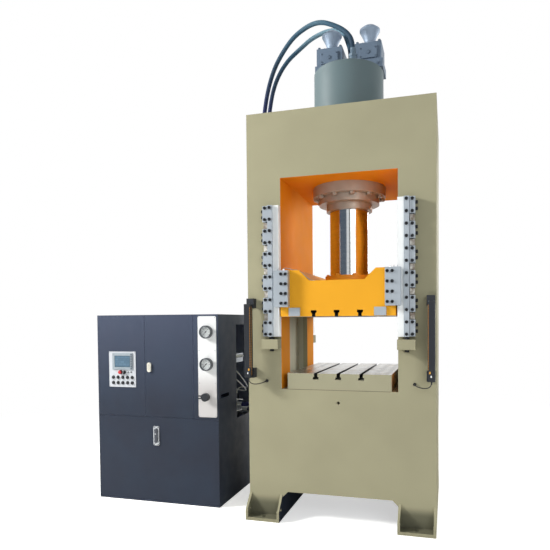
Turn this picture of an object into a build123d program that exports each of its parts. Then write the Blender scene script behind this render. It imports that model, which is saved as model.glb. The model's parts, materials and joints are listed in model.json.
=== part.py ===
from build123d import *
from math import cos, pi, radians, sin, tan
import os

os.makedirs("parts", exist_ok=True)

# Millimetres. X to the right, Y to the back, Z up, origin on the floor under the middle of the press.

# Frame of the press
frame_width = 1480
frame_height = 3240
frame_depth = 1030
plate_thickness = 70
wall_thickness = 40
window_width = 920
window_bottom = 1046
window_top = 2718
leg_gap_height = 218
leg_gap_chamfer = 45
beam_skin = 80
beam_rib = 40
rib_offset = 350
side_opening_depth = 565
side_opening_bottom = 1100
side_opening_top = 1800
drain_hole = 24
drain_hole_height = 948

# Feet
foot_width = 280
foot_reach = 100
foot_height = 195
foot_front_height = 85
foot_plate = 20
foot_base = 25
anchor_hole = 36
gusset_hole = 22

# Bolster and T-slots
bolster_width = 820
bolster_thickness = 129
slot_pitch = 180
slot_neck = 28
slot_head = 46
slot_head_height = 20
slot_depth = 48

# Guides at the four corners
rail_width = 48
rail_proud = 50
rail_bottom = 1465
rail_length = 1030
keeper_width = 39
keeper_proud = 70
clamp_width = 41
clamp_proud = 60
clamp_length = 124
clamp_gap = 2
screw_pitch = 90
screw_rows = 12
screw_size = 17
screw_head = 8
adjuster_size = 20
adjuster_head = 14
adjuster_spacing = 46
ledge_width = 133
ledge_reach = 95
ledge_top = 1445
ledge_height = 75
jack_diameter = 20

# Slide
slide_bottom = 1622
slide_waist = 277
slide_shoulder = 361
shoulder_start = 300
waist_end = 214
slide_side_gap = 12
running_gap = 0.2
guide_plate_width = 115
guide_plate_thickness = 50
guide_plate_inner = 373
guide_plate_base = 75
guide_plate_height = 283
guide_screw_inset = 18
guide_screw_step = 36
guide_screw_pitch = 75
corner_plate_width = 90
corner_plate_height = 65
corner_plate_inner = 288
corner_plate_thickness = 12
corner_plate_base = 3

# Cylinder and rod
barrel_diameter = 590
bore_diameter = 450
barrel_cap = 90
barrel_headroom = 20
barrel_fit = 0.3
flange_diameter = 620
flange_height = 83
flange_land = 52
gland_height = 60
gland_spigot = 65
packing_diameter = 392
packing_height = 55
rod_diameter = 335
rod_fit = 0.08
piston_height = 140
piston_clearance = 10
slide_drop = 230
slide_rise = 500
clamp_ring_diameter = 420
clamp_ring_height = 69
flange_bolt_count = 12
flange_bolt_size = 36
flange_bolt_head = 22
ring_bolt_count = 8
ring_bolt_size = 24
ring_bolt_head = 14

# Prefill valves and bells on top of the cylinder
valve_centre_x = 12
valve_centre_y = 40
valve_offset = 165
valve_width = 222
valve_base_width = 246
valve_base_height = 70
valve_height = 218
bell_neck = 88
bell_neck_height = 49
bell_diameter = 172
bell_flare = 92
bell_rim = 12
bell_top = 112
bell_crown = 36

# Hoses and cables, each route a list of points chosen by hand
hose_diameter = 38
hose_fitting = 62
cable_diameter = 7
cable_bush = 24
pressure_hose_route = [
    (76, -220, 3748), (76, -220, 3842), (37, -209, 3927), (-60, -185, 4014), (-238, -145, 4108),
    (-438, -85, 4061), (-568, -20, 3978), (-691, 42, 3846), (-781, 98, 3643), (-830, 132, 3369),
    (-832, 150, 2950), (-826, 158, 2530), (-838, 152, 2090), (-832, 142, 1650), (-838, 130, 1260),
    (-836, 122, 964), (-896, 120, 860), (-1000, 120, 800), (-1113, 120, 800)]
return_hose_route = [
    (12, 40, 3748), (12, 40, 3906), (-18, 72, 4002), (-68, 138, 4139), (-202, 192, 4206),
    (-368, 208, 4168), (-477, 216, 4097), (-632, 222, 3986), (-743, 230, 3812), (-798, 241, 3598),
    (-827, 252, 3319), (-834, 262, 2940), (-840, 270, 2520), (-832, 274, 2090), (-840, 268, 1650),
    (-834, 262, 1240), (-838, 262, 896), (-898, 262, 794), (-1002, 262, 733), (-1113, 262, 733)]
cable_route = [
    (706, -602, 1143), (706, -602, 1114), (686, -601, 1094), (654, -598, 1089), (620, -590, 1093),
    (592, -572, 1103), (582, -547, 1108), (582, -525, 1108)]

# Light curtains
curtain_inset = 34
curtain_width = 52
curtain_depth = 55
curtain_bottom = 1143
curtain_length = 579
curtain_groove = 30
curtain_groove_depth = 4
curtain_cap = 12
bracket_width = 60
bracket_height = 75
bracket_overlap = 28
bracket_sheet = 5

# Power and control cabinet
unit_right = -1053
unit_width = 1180
unit_front = -422
unit_depth = 1000
unit_height = 1650
sheet = 3
door_split = 754
control_door_width = 470
gauge_panel_width = 230
door_gap = 4
panel_side_gap = 1
door_thickness = 24
door_sheet = 3
pin_inset = 8
pin_diameter = 6
pin_fit = 0.05
pin_reach = 14
partition_y = -36
plinth = 8
side_opening_front = -30
side_opening_rear = 350
side_opening_low = 700
side_opening_high = 1560
hand_slot_front = -381
hand_slot_length = 186
hand_slot_height = 36
hand_slot_z = 945

# Control plate and its devices
control_plate_left = -2115
control_plate_width = 270
control_plate_bottom = 1010
control_plate_height = 316
control_plate_thickness = 3
screen_width = 202
screen_height = 146
screen_left = -2076
screen_bottom = 1166
screen_depth = 8
screen_recess = 2
screen_frame = 22
screen_body_inset = 14
screen_body_depth = 30
plate_cutout_inset = 10
button_pitch_x = 48
button_pitch_z = 48
button_columns = 5
button_rows = 2
button_first_x = -2073
button_first_z = 1096
button_diameter = 24
button_proud = 10
button_edge = 1.5
stem_reach = 12
stem_fit = 0.3
estop_x = -1998
estop_z = 1143
estop_diameter = 32
estop_stem = 16
estop_height = 22
estop_cap = 12
selector_x = -1955
selector_diameter = 24
selector_height = 8
selector_lever = 34
selector_grip = 9
selector_lever_height = 10

# Latches, gauges and knob
latch_width = 35
latch_height = 84
latch_x = -1708
latch_bottom = 1149
latch_depth = 14
lower_latch_width = 56
lower_latch_height = 170
lower_latch_x = -1649
lower_latch_bottom = 504
lower_latch_plate = 5
lower_lever_width = 26
lower_lever_height = 128
lower_lever_depth = 12
lever_offset = 18
lever_gap = 0.3
spindle_diameter = 14
spindle_reach = 20
spindle_fit = 0.1
gauge_plate_width = 170
gauge_plate_height = 862
gauge_plate_bottom = 772
gauge_plate_thickness = 4
gauge_plate_corner = 14
gauge_diameter = 110
gauge_dial = 96
gauge_depth = 34
gauge_recess = 12
gauge_x = -1152
gauge_heights = (1500, 1225)
needle_length = 40
needle_tail = 14
needle_width = 5
needle_thickness = 1.5
needle_clearance = 3
needle_boss = 9
needle_boss_height = 3
needle_pin = 3
needle_pin_depth = 6
needle_fit = 0.06
zero_angle = 225
knob_z = 949
knob_diameter = 70
knob_depth = 40
knob_stand = 22
knob_stem = 22
knob_prong_length = 62
knob_prong_width = 30
knob_prong_slot = 12
knob_prong_thickness = 16

# Inside the cabinet
tank_height = 640
tank_wall = 6
tank_gap = 10
motor_diameter = 300
motor_length = 430
motor_left = -2080
motor_shell = 12
fan_cowl = 240
bell_housing = 210
bell_housing_length = 130
pump_diameter = 170
pump_length = 210
motor_axis_z = 230
motor_axis_y = -215
motor_foot_width = 60
motor_foot_spread = 240
terminal_box = 110
terminal_box_height = 50
manifold_right = -1171
manifold_width = 190
manifold_front = 45
manifold_depth = 270
manifold_height = 230
valve_body = 62
valve_body_height = 150
valve_gap = 20
riser_diameter = 34
riser_inset = 45
riser_y = 90
upper_block = (186, 190, 80)
upper_block_right = -1075
upper_block_bottom = 1207
pipe_diameter = 14
pipe_bend = 24
pipe_lead = 36
low_pipe_z = 1057
high_pipe_end = 292
low_pipe_end = 256
panel_margin = 60
panel_plate = 4
relay_width = 90
relay_depth = 80
relay_height = 110
relay_columns = 5
relay_rows = 2
relay_pitch_z = 300
duct_depth = 50
duct_height = 60

# Worked out from the sizes above
half_depth = frame_depth / 2
half_width = frame_width / 2
half_window = window_width / 2
inner_depth = half_depth - plate_thickness
unit_left = unit_right - unit_width
unit_back = unit_front + unit_depth
bolster_top = window_bottom + bolster_thickness
rail_outer = half_window + rail_width
keeper_outer = rail_outer + keeper_width
clamp_inner = keeper_outer + clamp_gap
clamp_outer = clamp_inner + clamp_width
slide_front = half_depth + rail_proud
slide_half = half_window - slide_side_gap
waist_top = slide_bottom + slide_waist
shoulder_top = slide_bottom + slide_shoulder
guide_plate_bottom = slide_bottom + guide_plate_base
first_screw = rail_bottom + (rail_length - (screw_rows - 1) * screw_pitch) / 2
screw_heights = [first_screw + row * screw_pitch for row in range(screw_rows)]
clamp_heights = [(low + high) / 2 for low, high in zip(screw_heights[::2], screw_heights[1::2])]
keeper_screw_x = (rail_outer + keeper_outer) / 2
clamp_screw_x = (clamp_inner + clamp_outer) / 2
jack_y = half_depth + keeper_proud / 2
flange_bottom = window_top - flange_height
gland_bottom = flange_bottom - gland_height
packing_bottom = gland_bottom - packing_height
gland_diameter = flange_diameter - 2 * flange_land
piston_base = flange_bottom + gland_spigot + piston_clearance + slide_drop
barrel_top = piston_base + piston_height + slide_rise + barrel_headroom + barrel_cap
corners = [(x_side, y_side) for x_side in (-1, 1) for y_side in (-1, 1)]
curtain_offset = half_width - curtain_inset
valve_centres = [(valve_centre_x + side * valve_offset, valve_centre_y) for side in (-1, 1)]
curtain_front = cable_route[0][1] - curtain_depth / 2
curtain_back = curtain_front + curtain_depth
shelf_bottom = door_split - sheet / 2
shelf_top = door_split + sheet / 2
wall_left = unit_left + sheet
wall_right = unit_right - sheet
panel_left = unit_right - gauge_panel_width
control_left = wall_left + door_gap
control_right = control_left + control_door_width
main_left = control_right + door_gap
main_right = panel_left - door_gap
door_bottom = door_split + door_gap
door_top = unit_height - door_gap
lower_left = wall_left + panel_side_gap
lower_right = wall_right - panel_side_gap
lower_bottom = plinth + door_gap
lower_top = door_split - door_gap
door_back = unit_front + door_thickness
plate_front = unit_front - control_plate_thickness
control_plate_right = control_plate_left + control_plate_width
control_plate_top = control_plate_bottom + control_plate_height
button_bore = button_diameter + 2 * stem_fit
spindle_bore = spindle_diameter + 2 * spindle_fit
gauge_plate_front = unit_front - gauge_plate_thickness
case_front = gauge_plate_front - gauge_depth
dial_face = case_front + gauge_recess
needle_back = dial_face - needle_clearance
latch_plate_front = unit_front - lower_latch_plate
lower_lever_z = lower_latch_bottom + lower_latch_height / 2 + lever_offset
latch_z = latch_bottom + latch_height / 2
pin_y = unit_front + pin_inset
control_pin_x = control_left + pin_inset
main_pin_x = main_right - pin_inset
lower_pin_z = lower_bottom + pin_inset
tank_top = plinth + tank_height
button_places = [(button_first_x + column * button_pitch_x, button_first_z - row * button_pitch_z)
                 for row in range(button_rows) for column in range(button_columns)]


def slab(x, y, z, mode=Mode.ADD):
    """A box between two values along each axis, in the part that is open."""
    with Locations(((x[0] + x[1]) / 2, (y[0] + y[1]) / 2, (z[0] + z[1]) / 2)):
        Box(abs(x[1] - x[0]), abs(y[1] - y[0]), abs(z[1] - z[0]), mode=mode)


def corner_slab(side, x, y, z, mode=Mode.ADD):
    """The same box in the quarter of the press that side names by its signs."""
    slab([side[0] * value for value in x], [side[1] * value for value in y], z, mode)


def rod_along(axis, place, diameter, length, mode=Mode.ADD):
    """A round bar that starts at place and runs along the axis by length."""
    turn = {"x": (0, 90, 0), "y": (-90, 0, 0), "z": (0, 0, 0)}[axis]
    with Locations(Location(place, turn)):
        Cylinder(diameter / 2, length, align=(Align.CENTER, Align.CENTER, Align.MIN), mode=mode)


def bolt_heads(normal, sign, distance, places, size, height):
    """Hexagon heads of one size on the plane at distance along the normal, looking along sign times it; the
    places are given as (the other level axis, Z) or, on a level plane, as (X, Y)."""
    if normal == "z":
        plane = Plane(origin=(0, 0, distance), x_dir=(1, 0, 0), z_dir=(0, 0, sign))
        flat = [(x, sign * y) for x, y in places]
    elif normal == "y":
        plane = Plane(origin=(0, distance, 0), x_dir=(-sign, 0, 0), z_dir=(0, sign, 0))
        flat = [(-sign * x, z) for x, z in places]
    else:
        plane = Plane(origin=(distance, 0, 0), x_dir=(0, sign, 0), z_dir=(sign, 0, 0))
        flat = [(sign * y, z) for y, z in places]
    with BuildSketch(plane) as outlines:
        with Locations(*flat):
            RegularPolygon(size / 2, 6, major_radius=False)
    extrude(outlines.sketch, amount=height)


def t_slots(surface, inward, reach):
    """Cuts the front to back T-slots in a face at height surface; inward is +1 into the part above."""
    for number in (-1, 0, 1):
        middle = number * slot_pitch
        bottom = surface + inward * slot_depth
        slab((middle - slot_neck / 2, middle + slot_neck / 2), (-reach, reach), (surface, bottom),
             Mode.SUBTRACT)
        slab((middle - slot_head / 2, middle + slot_head / 2), (-reach, reach),
             (bottom - inward * slot_head_height, bottom), Mode.SUBTRACT)


# Front and rear plate: the window, the gap between the legs and, at the front, the holes
def frame_plate(front):
    outside = -half_depth if front else inner_depth
    with BuildPart() as plate:
        with BuildSketch(Plane.XZ.offset(-outside)):
            with Locations((0, frame_height / 2)):
                Rectangle(frame_width, frame_height)
            with Locations((0, (window_top + window_bottom) / 2)):
                Rectangle(window_width, window_top - window_bottom, mode=Mode.SUBTRACT)
            with BuildLine():
                Polyline((-half_window, 0), (-half_window, leg_gap_height - leg_gap_chamfer),
                         (leg_gap_chamfer - half_window, leg_gap_height),
                         (half_window - leg_gap_chamfer, leg_gap_height),
                         (half_window, leg_gap_height - leg_gap_chamfer), (half_window, 0), close=True)
            make_face(mode=Mode.SUBTRACT)
            if front:
                with Locations((0, drain_hole_height)):
                    Circle(drain_hole / 2, mode=Mode.SUBTRACT)
        extrude(amount=-plate_thickness)
    return plate


front_plate = frame_plate(True)
front_plate.part.label = "front_plate"
export_step(front_plate.part, "parts/front_plate.step")

rear_plate = frame_plate(False)
rear_plate.part.label = "rear_plate"
export_step(rear_plate.part, "parts/rear_plate.step")

# Upright walls between the plates; the inner ones have the side opening
wall_top = frame_height - beam_skin
with BuildPart() as inner_walls:
    for side in (-1, 1):
        slab((side * half_window, side * (half_window + wall_thickness)), (-inner_depth, inner_depth),
             (0, wall_top))
        slab((side * half_window, side * (half_window + wall_thickness)),
             (-side_opening_depth / 2, side_opening_depth / 2), (side_opening_bottom, side_opening_top),
             Mode.SUBTRACT)
inner_walls.part.label = "inner_walls"
export_step(inner_walls.part, "parts/inner_walls.step")

with BuildPart() as outer_walls:
    for side in (-1, 1):
        slab((side * (half_width - wall_thickness), side * half_width), (-inner_depth, inner_depth),
             (0, wall_top))
outer_walls.part.label = "outer_walls"
export_step(outer_walls.part, "parts/outer_walls.step")

# Crown: top skin over the uprights, soffit and ribs, bored for the barrel
with BuildPart() as crown_beam:
    slab((-half_width, half_width), (-inner_depth, inner_depth), (wall_top, frame_height))
    slab((-half_window, half_window), (-inner_depth, inner_depth), (window_top, window_top + beam_skin))
    for side in (-1, 1):
        slab((side * (rib_offset - beam_rib / 2), side * (rib_offset + beam_rib / 2)),
             (-inner_depth, inner_depth), (window_top, frame_height))
    rod_along("z", (0, 0, window_top), barrel_diameter + 2 * barrel_fit, frame_height - window_top,
              Mode.SUBTRACT)
crown_beam.part.label = "crown_beam"
export_step(crown_beam.part, "parts/crown_beam.step")

# Bed: top and bottom skins joined by ribs
with BuildPart() as bed_beam:
    for skin in ((window_bottom - beam_skin, window_bottom), (leg_gap_height, leg_gap_height + beam_rib)):
        slab((-half_window, half_window), (-inner_depth, inner_depth), skin)
    for offset_x in (-rib_offset, 0, rib_offset):
        slab((offset_x - beam_rib / 2, offset_x + beam_rib / 2), (-inner_depth, inner_depth),
             (leg_gap_height, window_bottom))
bed_beam.part.label = "bed_beam"
export_step(bed_beam.part, "parts/bed_beam.step")

# Feet: a base plate between two gussets, open at the front and the top
with BuildPart() as foot_brackets:
    for side in corners:
        outer = half_width
        inner = half_width - foot_width
        face = side[1] * half_depth
        tip = side[1] * (half_depth + foot_reach)
        corner_slab(side, (inner, outer), (half_depth, half_depth + foot_reach), (0, foot_base))
        for edge in (inner, outer - foot_plate):
            with BuildSketch(Plane.YZ.offset(min(side[0] * edge, side[0] * (edge + foot_plate)))):
                with BuildLine():
                    Polyline((face, 0), (face, foot_height), (tip, foot_front_height), (tip, 0), close=True)
                make_face()
                with Locations((side[1] * (half_depth + foot_reach / 2), foot_front_height)):
                    Circle(gusset_hole / 2, mode=Mode.SUBTRACT)
            extrude(amount=foot_plate)
        middle = (side[0] * (half_width - foot_width / 2), side[1] * (half_depth + foot_reach / 2), 0)
        rod_along("z", middle, anchor_hole, foot_base, Mode.SUBTRACT)
foot_brackets.part.label = "foot_brackets"
export_step(foot_brackets.part, "parts/foot_brackets.step")

# Bolster plate with its T-slots
with BuildPart() as bolster:
    slab((-bolster_width / 2, bolster_width / 2), (-half_depth, half_depth), (window_bottom, bolster_top))
    t_slots(bolster_top, -1, half_depth)
bolster.part.label = "bolster"
export_step(bolster.part, "parts/bolster.step")

# Hardened rails, one at each corner of the window
with BuildPart() as guide_rails:
    for side in corners:
        corner_slab(side, (half_window, rail_outer), (half_depth, half_depth + rail_proud),
                    (rail_bottom, rail_bottom + rail_length))
guide_rails.part.label = "guide_rails"
export_step(guide_rails.part, "parts/guide_rails.step")

# Keeper strip beside each rail, and the clamp blocks outside it
with BuildPart() as rail_keepers:
    for side in corners:
        corner_slab(side, (rail_outer, keeper_outer), (half_depth, half_depth + keeper_proud),
                    (rail_bottom, rail_bottom + rail_length))
        for height in clamp_heights:
            corner_slab(side, (clamp_inner, clamp_outer), (half_depth, half_depth + clamp_proud),
                        (height - clamp_length / 2, height + clamp_length / 2))
rail_keepers.part.label = "rail_keepers"
export_step(rail_keepers.part, "parts/rail_keepers.step")

# Ledges under the rails, each with a hole for its jack screw
with BuildPart() as rail_ledges:
    for side in corners:
        corner_slab(side, (half_window, half_window + ledge_width), (half_depth, half_depth + ledge_reach),
                    (ledge_top - ledge_height, ledge_top))
        rod_along("z", (side[0] * keeper_screw_x, side[1] * jack_y, ledge_top - ledge_height), jack_diameter,
                  ledge_height, Mode.SUBTRACT)
rail_ledges.part.label = "rail_ledges"
export_step(rail_ledges.part, "parts/rail_ledges.step")

# Cylinder barrel: forged in one piece with its closed end and its flange
with BuildPart() as cylinder_barrel:
    with BuildSketch(Plane.XZ):
        with BuildLine():
            Polyline((bore_diameter / 2, flange_bottom), (flange_diameter / 2, flange_bottom),
                     (flange_diameter / 2, window_top), (barrel_diameter / 2, window_top),
                     (barrel_diameter / 2, barrel_top), (0, barrel_top), (0, barrel_top - barrel_cap),
                     (bore_diameter / 2, barrel_top - barrel_cap), close=True)
        make_face()
    revolve(axis=Axis.Z)
    top_edges = cylinder_barrel.edges().filter_by(GeomType.CIRCLE).group_by(Axis.Z)[-1]
    chamfer(top_edges, 8)
cylinder_barrel.part.label = "cylinder_barrel"
export_step(cylinder_barrel.part, "parts/cylinder_barrel.step")

# Gland ring with its spigot in the bore, and the packing ring below it
rod_bore = rod_diameter / 2 + rod_fit
with BuildPart() as gland_rings:
    with BuildSketch(Plane.XZ):
        with BuildLine():
            Polyline((rod_bore, gland_bottom), (gland_diameter / 2, gland_bottom),
                     (gland_diameter / 2, flange_bottom), (bore_diameter / 2 - barrel_fit, flange_bottom),
                     (bore_diameter / 2 - barrel_fit, flange_bottom + gland_spigot),
                     (rod_bore, flange_bottom + gland_spigot), close=True)
        make_face()
    revolve(axis=Axis.Z)
    with BuildSketch(Plane.XY.offset(packing_bottom)):
        Circle(packing_diameter / 2)
        Circle(rod_bore, mode=Mode.SUBTRACT)
    packing_ring = extrude(amount=packing_height, mode=Mode.PRIVATE)
rings = Compound(children=[gland_rings.part.solid(), packing_ring.solid()])
rings.label = "gland_rings"
export_step(rings, "parts/gland_rings.step")

# Prefill valve blocks: a wider base and the body above it
with BuildPart() as prefill_blocks:
    for centre_x, centre_y in valve_centres:
        for width, height in ((valve_base_width, valve_base_height), (valve_width, valve_height)):
            slab((centre_x - width / 2, centre_x + width / 2), (centre_y - width / 2, centre_y + width / 2),
                 (barrel_top, barrel_top + height))
prefill_blocks.part.label = "prefill_blocks"
export_step(prefill_blocks.part, "parts/prefill_blocks.step")

# Suction bells: a neck that flares to a rim under a sloped crown
bell_base = barrel_top + valve_height
neck_top = bell_base + bell_neck_height
rim_low = neck_top + bell_flare
with BuildPart() as suction_bells:
    for centre_x, centre_y in valve_centres:
        with BuildSketch(Plane((centre_x, centre_y, 0), x_dir=(1, 0, 0), z_dir=(0, -1, 0))):
            with BuildLine():
                Polyline((0, bell_base), (bell_neck / 2, bell_base), (bell_neck / 2, neck_top))
                Spline((bell_neck / 2, neck_top), (bell_diameter / 2, rim_low),
                       tangents=((0.25, 1), (0.55, 1)))
                Polyline((bell_diameter / 2, rim_low), (bell_diameter / 2, rim_low + bell_rim),
                         (bell_top / 2, rim_low + bell_crown), (0, rim_low + bell_crown), (0, bell_base))
            make_face()
        revolve(axis=Axis((centre_x, centre_y, 0), (0, 0, 1)))
suction_bells.part.label = "suction_bells"
export_step(suction_bells.part, "parts/suction_bells.step")

# Bolts that stay with the frame: keeper and clamp screws, adjusters, jack screws and flange bolts
with BuildPart() as frame_bolts:
    for y_side in (-1, 1):
        for middle, proud in ((keeper_screw_x, keeper_proud), (clamp_screw_x, clamp_proud)):
            places = [(x_side * middle, height) for x_side in (-1, 1) for height in screw_heights]
            bolt_heads("y", y_side, y_side * (half_depth + proud), places, screw_size, screw_head)
    for x_side in (-1, 1):
        places = [(y_side * (half_depth + clamp_proud / 2), height + shift) for y_side in (-1, 1)
                  for height in clamp_heights for shift in (-adjuster_spacing / 2, adjuster_spacing / 2)]
        bolt_heads("x", x_side, x_side * clamp_outer, places, adjuster_size, adjuster_head)
    jacks = [(x_side * keeper_screw_x, y_side * jack_y) for x_side, y_side in corners]
    with BuildSketch(Plane.XY.offset(ledge_top - ledge_height)):
        with Locations(*jacks):
            Circle(jack_diameter / 2)
    extrude(amount=rail_bottom - ledge_top + ledge_height)
    bolt_heads("z", -1, ledge_top - ledge_height, jacks, 1.5 * jack_diameter, jack_diameter)
    bolt_circle = (gland_diameter + flange_diameter) / 4
    angles = [2 * pi * (number + 0.5) / flange_bolt_count for number in range(flange_bolt_count)]
    places = [(bolt_circle * cos(angle), bolt_circle * sin(angle)) for angle in angles]
    bolt_heads("z", -1, flange_bottom, places, flange_bolt_size, flange_bolt_head)
frame_bolts.part.label = "frame_bolts"
export_step(frame_bolts.part, "parts/frame_bolts.step")

# Slide: a deep beam with raised shoulders and T-slots in its underside
with BuildPart() as slide:
    with BuildSketch(Plane.XZ.offset(-slide_front)):
        with BuildLine():
            Polyline((-slide_half, slide_bottom), (-slide_half, shoulder_top),
                     (-shoulder_start, shoulder_top), (-waist_end, waist_top), (waist_end, waist_top),
                     (shoulder_start, shoulder_top), (slide_half, shoulder_top), (slide_half, slide_bottom),
                     close=True)
        make_face()
    extrude(amount=2 * slide_front)
    t_slots(slide_bottom, 1, slide_front)
slide.part.label = "slide"
export_step(slide.part, "parts/slide.step")

# Steel plates bolted on the slide: guide plates that run on the rails, and the two corner plates
plate_face = slide_front + running_gap
guide_plate_face = slide_front + guide_plate_thickness
guide_plate_outer = guide_plate_inner + guide_plate_width
guide_plate_z = (guide_plate_bottom, guide_plate_bottom + guide_plate_height)
corner_plate_low = slide_bottom + corner_plate_base
with BuildPart() as guide_plates:
    for side in corners:
        corner_slab(side, (guide_plate_inner, slide_half), (slide_front, guide_plate_face), guide_plate_z)
        corner_slab(side, (slide_half, guide_plate_outer), (plate_face, guide_plate_face), guide_plate_z)
        corner_slab(side, (corner_plate_inner, corner_plate_inner + corner_plate_width),
                    (slide_front, slide_front + corner_plate_thickness),
                    (corner_plate_low, corner_plate_low + corner_plate_height))
guide_plates.part.label = "guide_plates"
export_step(guide_plates.part, "parts/guide_plates.step")

# Bronze liners on the slide's sides, against the inner side of each rail
with BuildPart() as slide_liners:
    for side in corners:
        corner_slab(side, (slide_half, half_window - running_gap), (half_depth, slide_front), guide_plate_z)
slide_liners.part.label = "slide_liners"
export_step(slide_liners.part, "parts/slide_liners.step")

# Piston rod and piston in one piece
with BuildPart() as piston_rod:
    rod_along("z", (0, 0, waist_top), rod_diameter, piston_base - waist_top)
    rod_along("z", (0, 0, piston_base), bore_diameter - 2 * rod_fit, piston_height)
piston_rod.part.label = "piston_rod"
export_step(piston_rod.part, "parts/piston_rod.step")

# Clamp ring that holds the rod's foot to the slide
with BuildPart() as rod_flange:
    with BuildSketch(Plane.XY.offset(waist_top)):
        Circle(clamp_ring_diameter / 2)
        Circle(rod_diameter / 2, mode=Mode.SUBTRACT)
    extrude(amount=clamp_ring_height)
rod_flange.part.label = "rod_flange"
export_step(rod_flange.part, "parts/rod_flange.step")

# Bolts that travel with the slide
with BuildPart() as slide_bolts:
    screw_columns = [guide_plate_inner + guide_screw_inset + column * guide_screw_step for column in (0, 1)]
    middle = guide_plate_bottom + guide_plate_height / 2
    screw_levels = [middle + (row - 1.5) * guide_screw_pitch for row in range(4)]
    for y_side in (-1, 1):
        places = [(x_side * column, level) for x_side in (-1, 1) for column in screw_columns
                  for level in screw_levels]
        bolt_heads("y", y_side, y_side * guide_plate_face, places, screw_size, screw_head)
    ring_circle = (clamp_ring_diameter + rod_diameter) / 4
    angles = [2 * pi * (number + 0.5) / ring_bolt_count for number in range(ring_bolt_count)]
    places = [(ring_circle * cos(angle), ring_circle * sin(angle)) for angle in angles]
    bolt_heads("z", 1, waist_top + clamp_ring_height, places, ring_bolt_size, ring_bolt_head)
slide_bolts.part.label = "slide_bolts"
export_step(slide_bolts.part, "parts/slide_bolts.step")


# A hose or cable: straight runs joined by tangent arcs, each arc as large as its two runs allow
def cord_tube(route, diameter, name):
    points = [Vector(*point) for point in route]
    radii = []
    for before, point, after in zip(points, points[1:], points[2:]):
        turn = (point - before).get_angle(after - point)
        shorter = min((point - before).length, (after - point).length)
        radii.append(0.45 * shorter / tan(radians(turn) / 2))
    with BuildPart() as tube:
        with BuildLine():
            path = FilletPolyline(*points, radius=radii)
        with BuildSketch(Plane(origin=points[0], z_dir=points[1] - points[0])):
            Circle(diameter / 2)
        sweep(path=path)
    length = path.length
    share = tube.part.volume / (pi * diameter ** 2 / 4 * length)
    print(f"{name}: length {length:.0f}, least radius {min(radii):.0f}, volume share {share:.4f}")
    tube.part.label = name
    export_step(tube.part, f"parts/{name}.step")


cord_tube(pressure_hose_route, hose_diameter, "pressure_hose")
cord_tube(return_hose_route, hose_diameter, "return_hose")
cord_tube(cable_route, cable_diameter, "curtain_cable_right")
cord_tube([(-x, y, z) for x, y, z in cable_route], cable_diameter, "curtain_cable_left")

# Light curtains: a bar with a lens groove in the side that faces the press's middle, capped at both ends
with BuildPart() as light_curtains:
    for x_side in (-1, 1):
        inner = x_side * (curtain_offset - curtain_width / 2)
        slab((inner, x_side * (curtain_offset + curtain_width / 2)), (curtain_front, curtain_back),
             (curtain_bottom, curtain_bottom + curtain_length))
        middle = (curtain_front + curtain_back) / 2
        slab((inner, inner + x_side * curtain_groove_depth),
             (middle - curtain_groove / 2, middle + curtain_groove / 2),
             (curtain_bottom + curtain_cap, curtain_bottom + curtain_length - curtain_cap), Mode.SUBTRACT)
light_curtains.part.label = "light_curtains"
export_step(light_curtains.part, "parts/light_curtains.step")

# Brackets of folded sheet: one leg on the frame, one behind the bar and a web between them
curtain_top = curtain_bottom + curtain_length
with BuildPart() as curtain_brackets:
    near = curtain_offset - bracket_width / 2 - bracket_sheet
    far = near + bracket_width
    for x_side in (-1, 1):
        for low in (curtain_bottom - bracket_sheet, curtain_top - bracket_overlap):
            for y in (curtain_back, -half_depth - bracket_sheet):
                slab((x_side * near, x_side * far), (y, y + bracket_sheet), (low, low + bracket_height))
            slab((x_side * near, x_side * (near + bracket_sheet)), (curtain_back, -half_depth),
                 (low, low + bracket_height))
curtain_brackets.part.label = "curtain_brackets"
export_step(curtain_brackets.part, "parts/curtain_brackets.step")

# Cabinet shell: folded sheet, with a shelf, a partition, the fixed gauge panel and the openings in its side
with BuildPart() as cabinet_shell:
    slab((unit_left, unit_right), (unit_front, unit_back), (0, unit_height))
    slab((wall_left, wall_right), (unit_front, partition_y), (plinth, shelf_bottom), Mode.SUBTRACT)
    slab((wall_left, wall_right), (unit_front, partition_y), (shelf_top, unit_height - sheet), Mode.SUBTRACT)
    slab((wall_left, wall_right), (partition_y + sheet, unit_back - sheet), (plinth, unit_height - sheet),
         Mode.SUBTRACT)
    slab((panel_left, unit_right), (unit_front, unit_front + sheet), (shelf_bottom, unit_height))
    slab((panel_left, panel_left + sheet), (unit_front, door_back), (shelf_bottom, unit_height))
    slab((wall_right, unit_right), (side_opening_front, side_opening_rear),
         (side_opening_low, side_opening_high), Mode.SUBTRACT)
    with BuildSketch(Plane.YZ.offset(wall_right)):
        with Locations((hand_slot_front + hand_slot_length / 2, hand_slot_z)):
            SlotOverall(hand_slot_length, hand_slot_height)
    extrude(amount=sheet, mode=Mode.SUBTRACT)
    rod_along("y", (gauge_x, unit_front, knob_z), knob_stem + 2 * spindle_fit, sheet, Mode.SUBTRACT)
cabinet_shell.part.label = "cabinet_shell"
export_step(cabinet_shell.part, "parts/cabinet_shell.step")


def folded_pan(x, z):
    """A door of sheet with its four edges folded back, in the part that is open."""
    slab(x, (unit_front, door_back), z)
    slab((x[0] + door_sheet, x[1] - door_sheet), (unit_front + door_sheet, door_back),
         (z[0] + door_sheet, z[1] - door_sheet), Mode.SUBTRACT)


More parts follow.
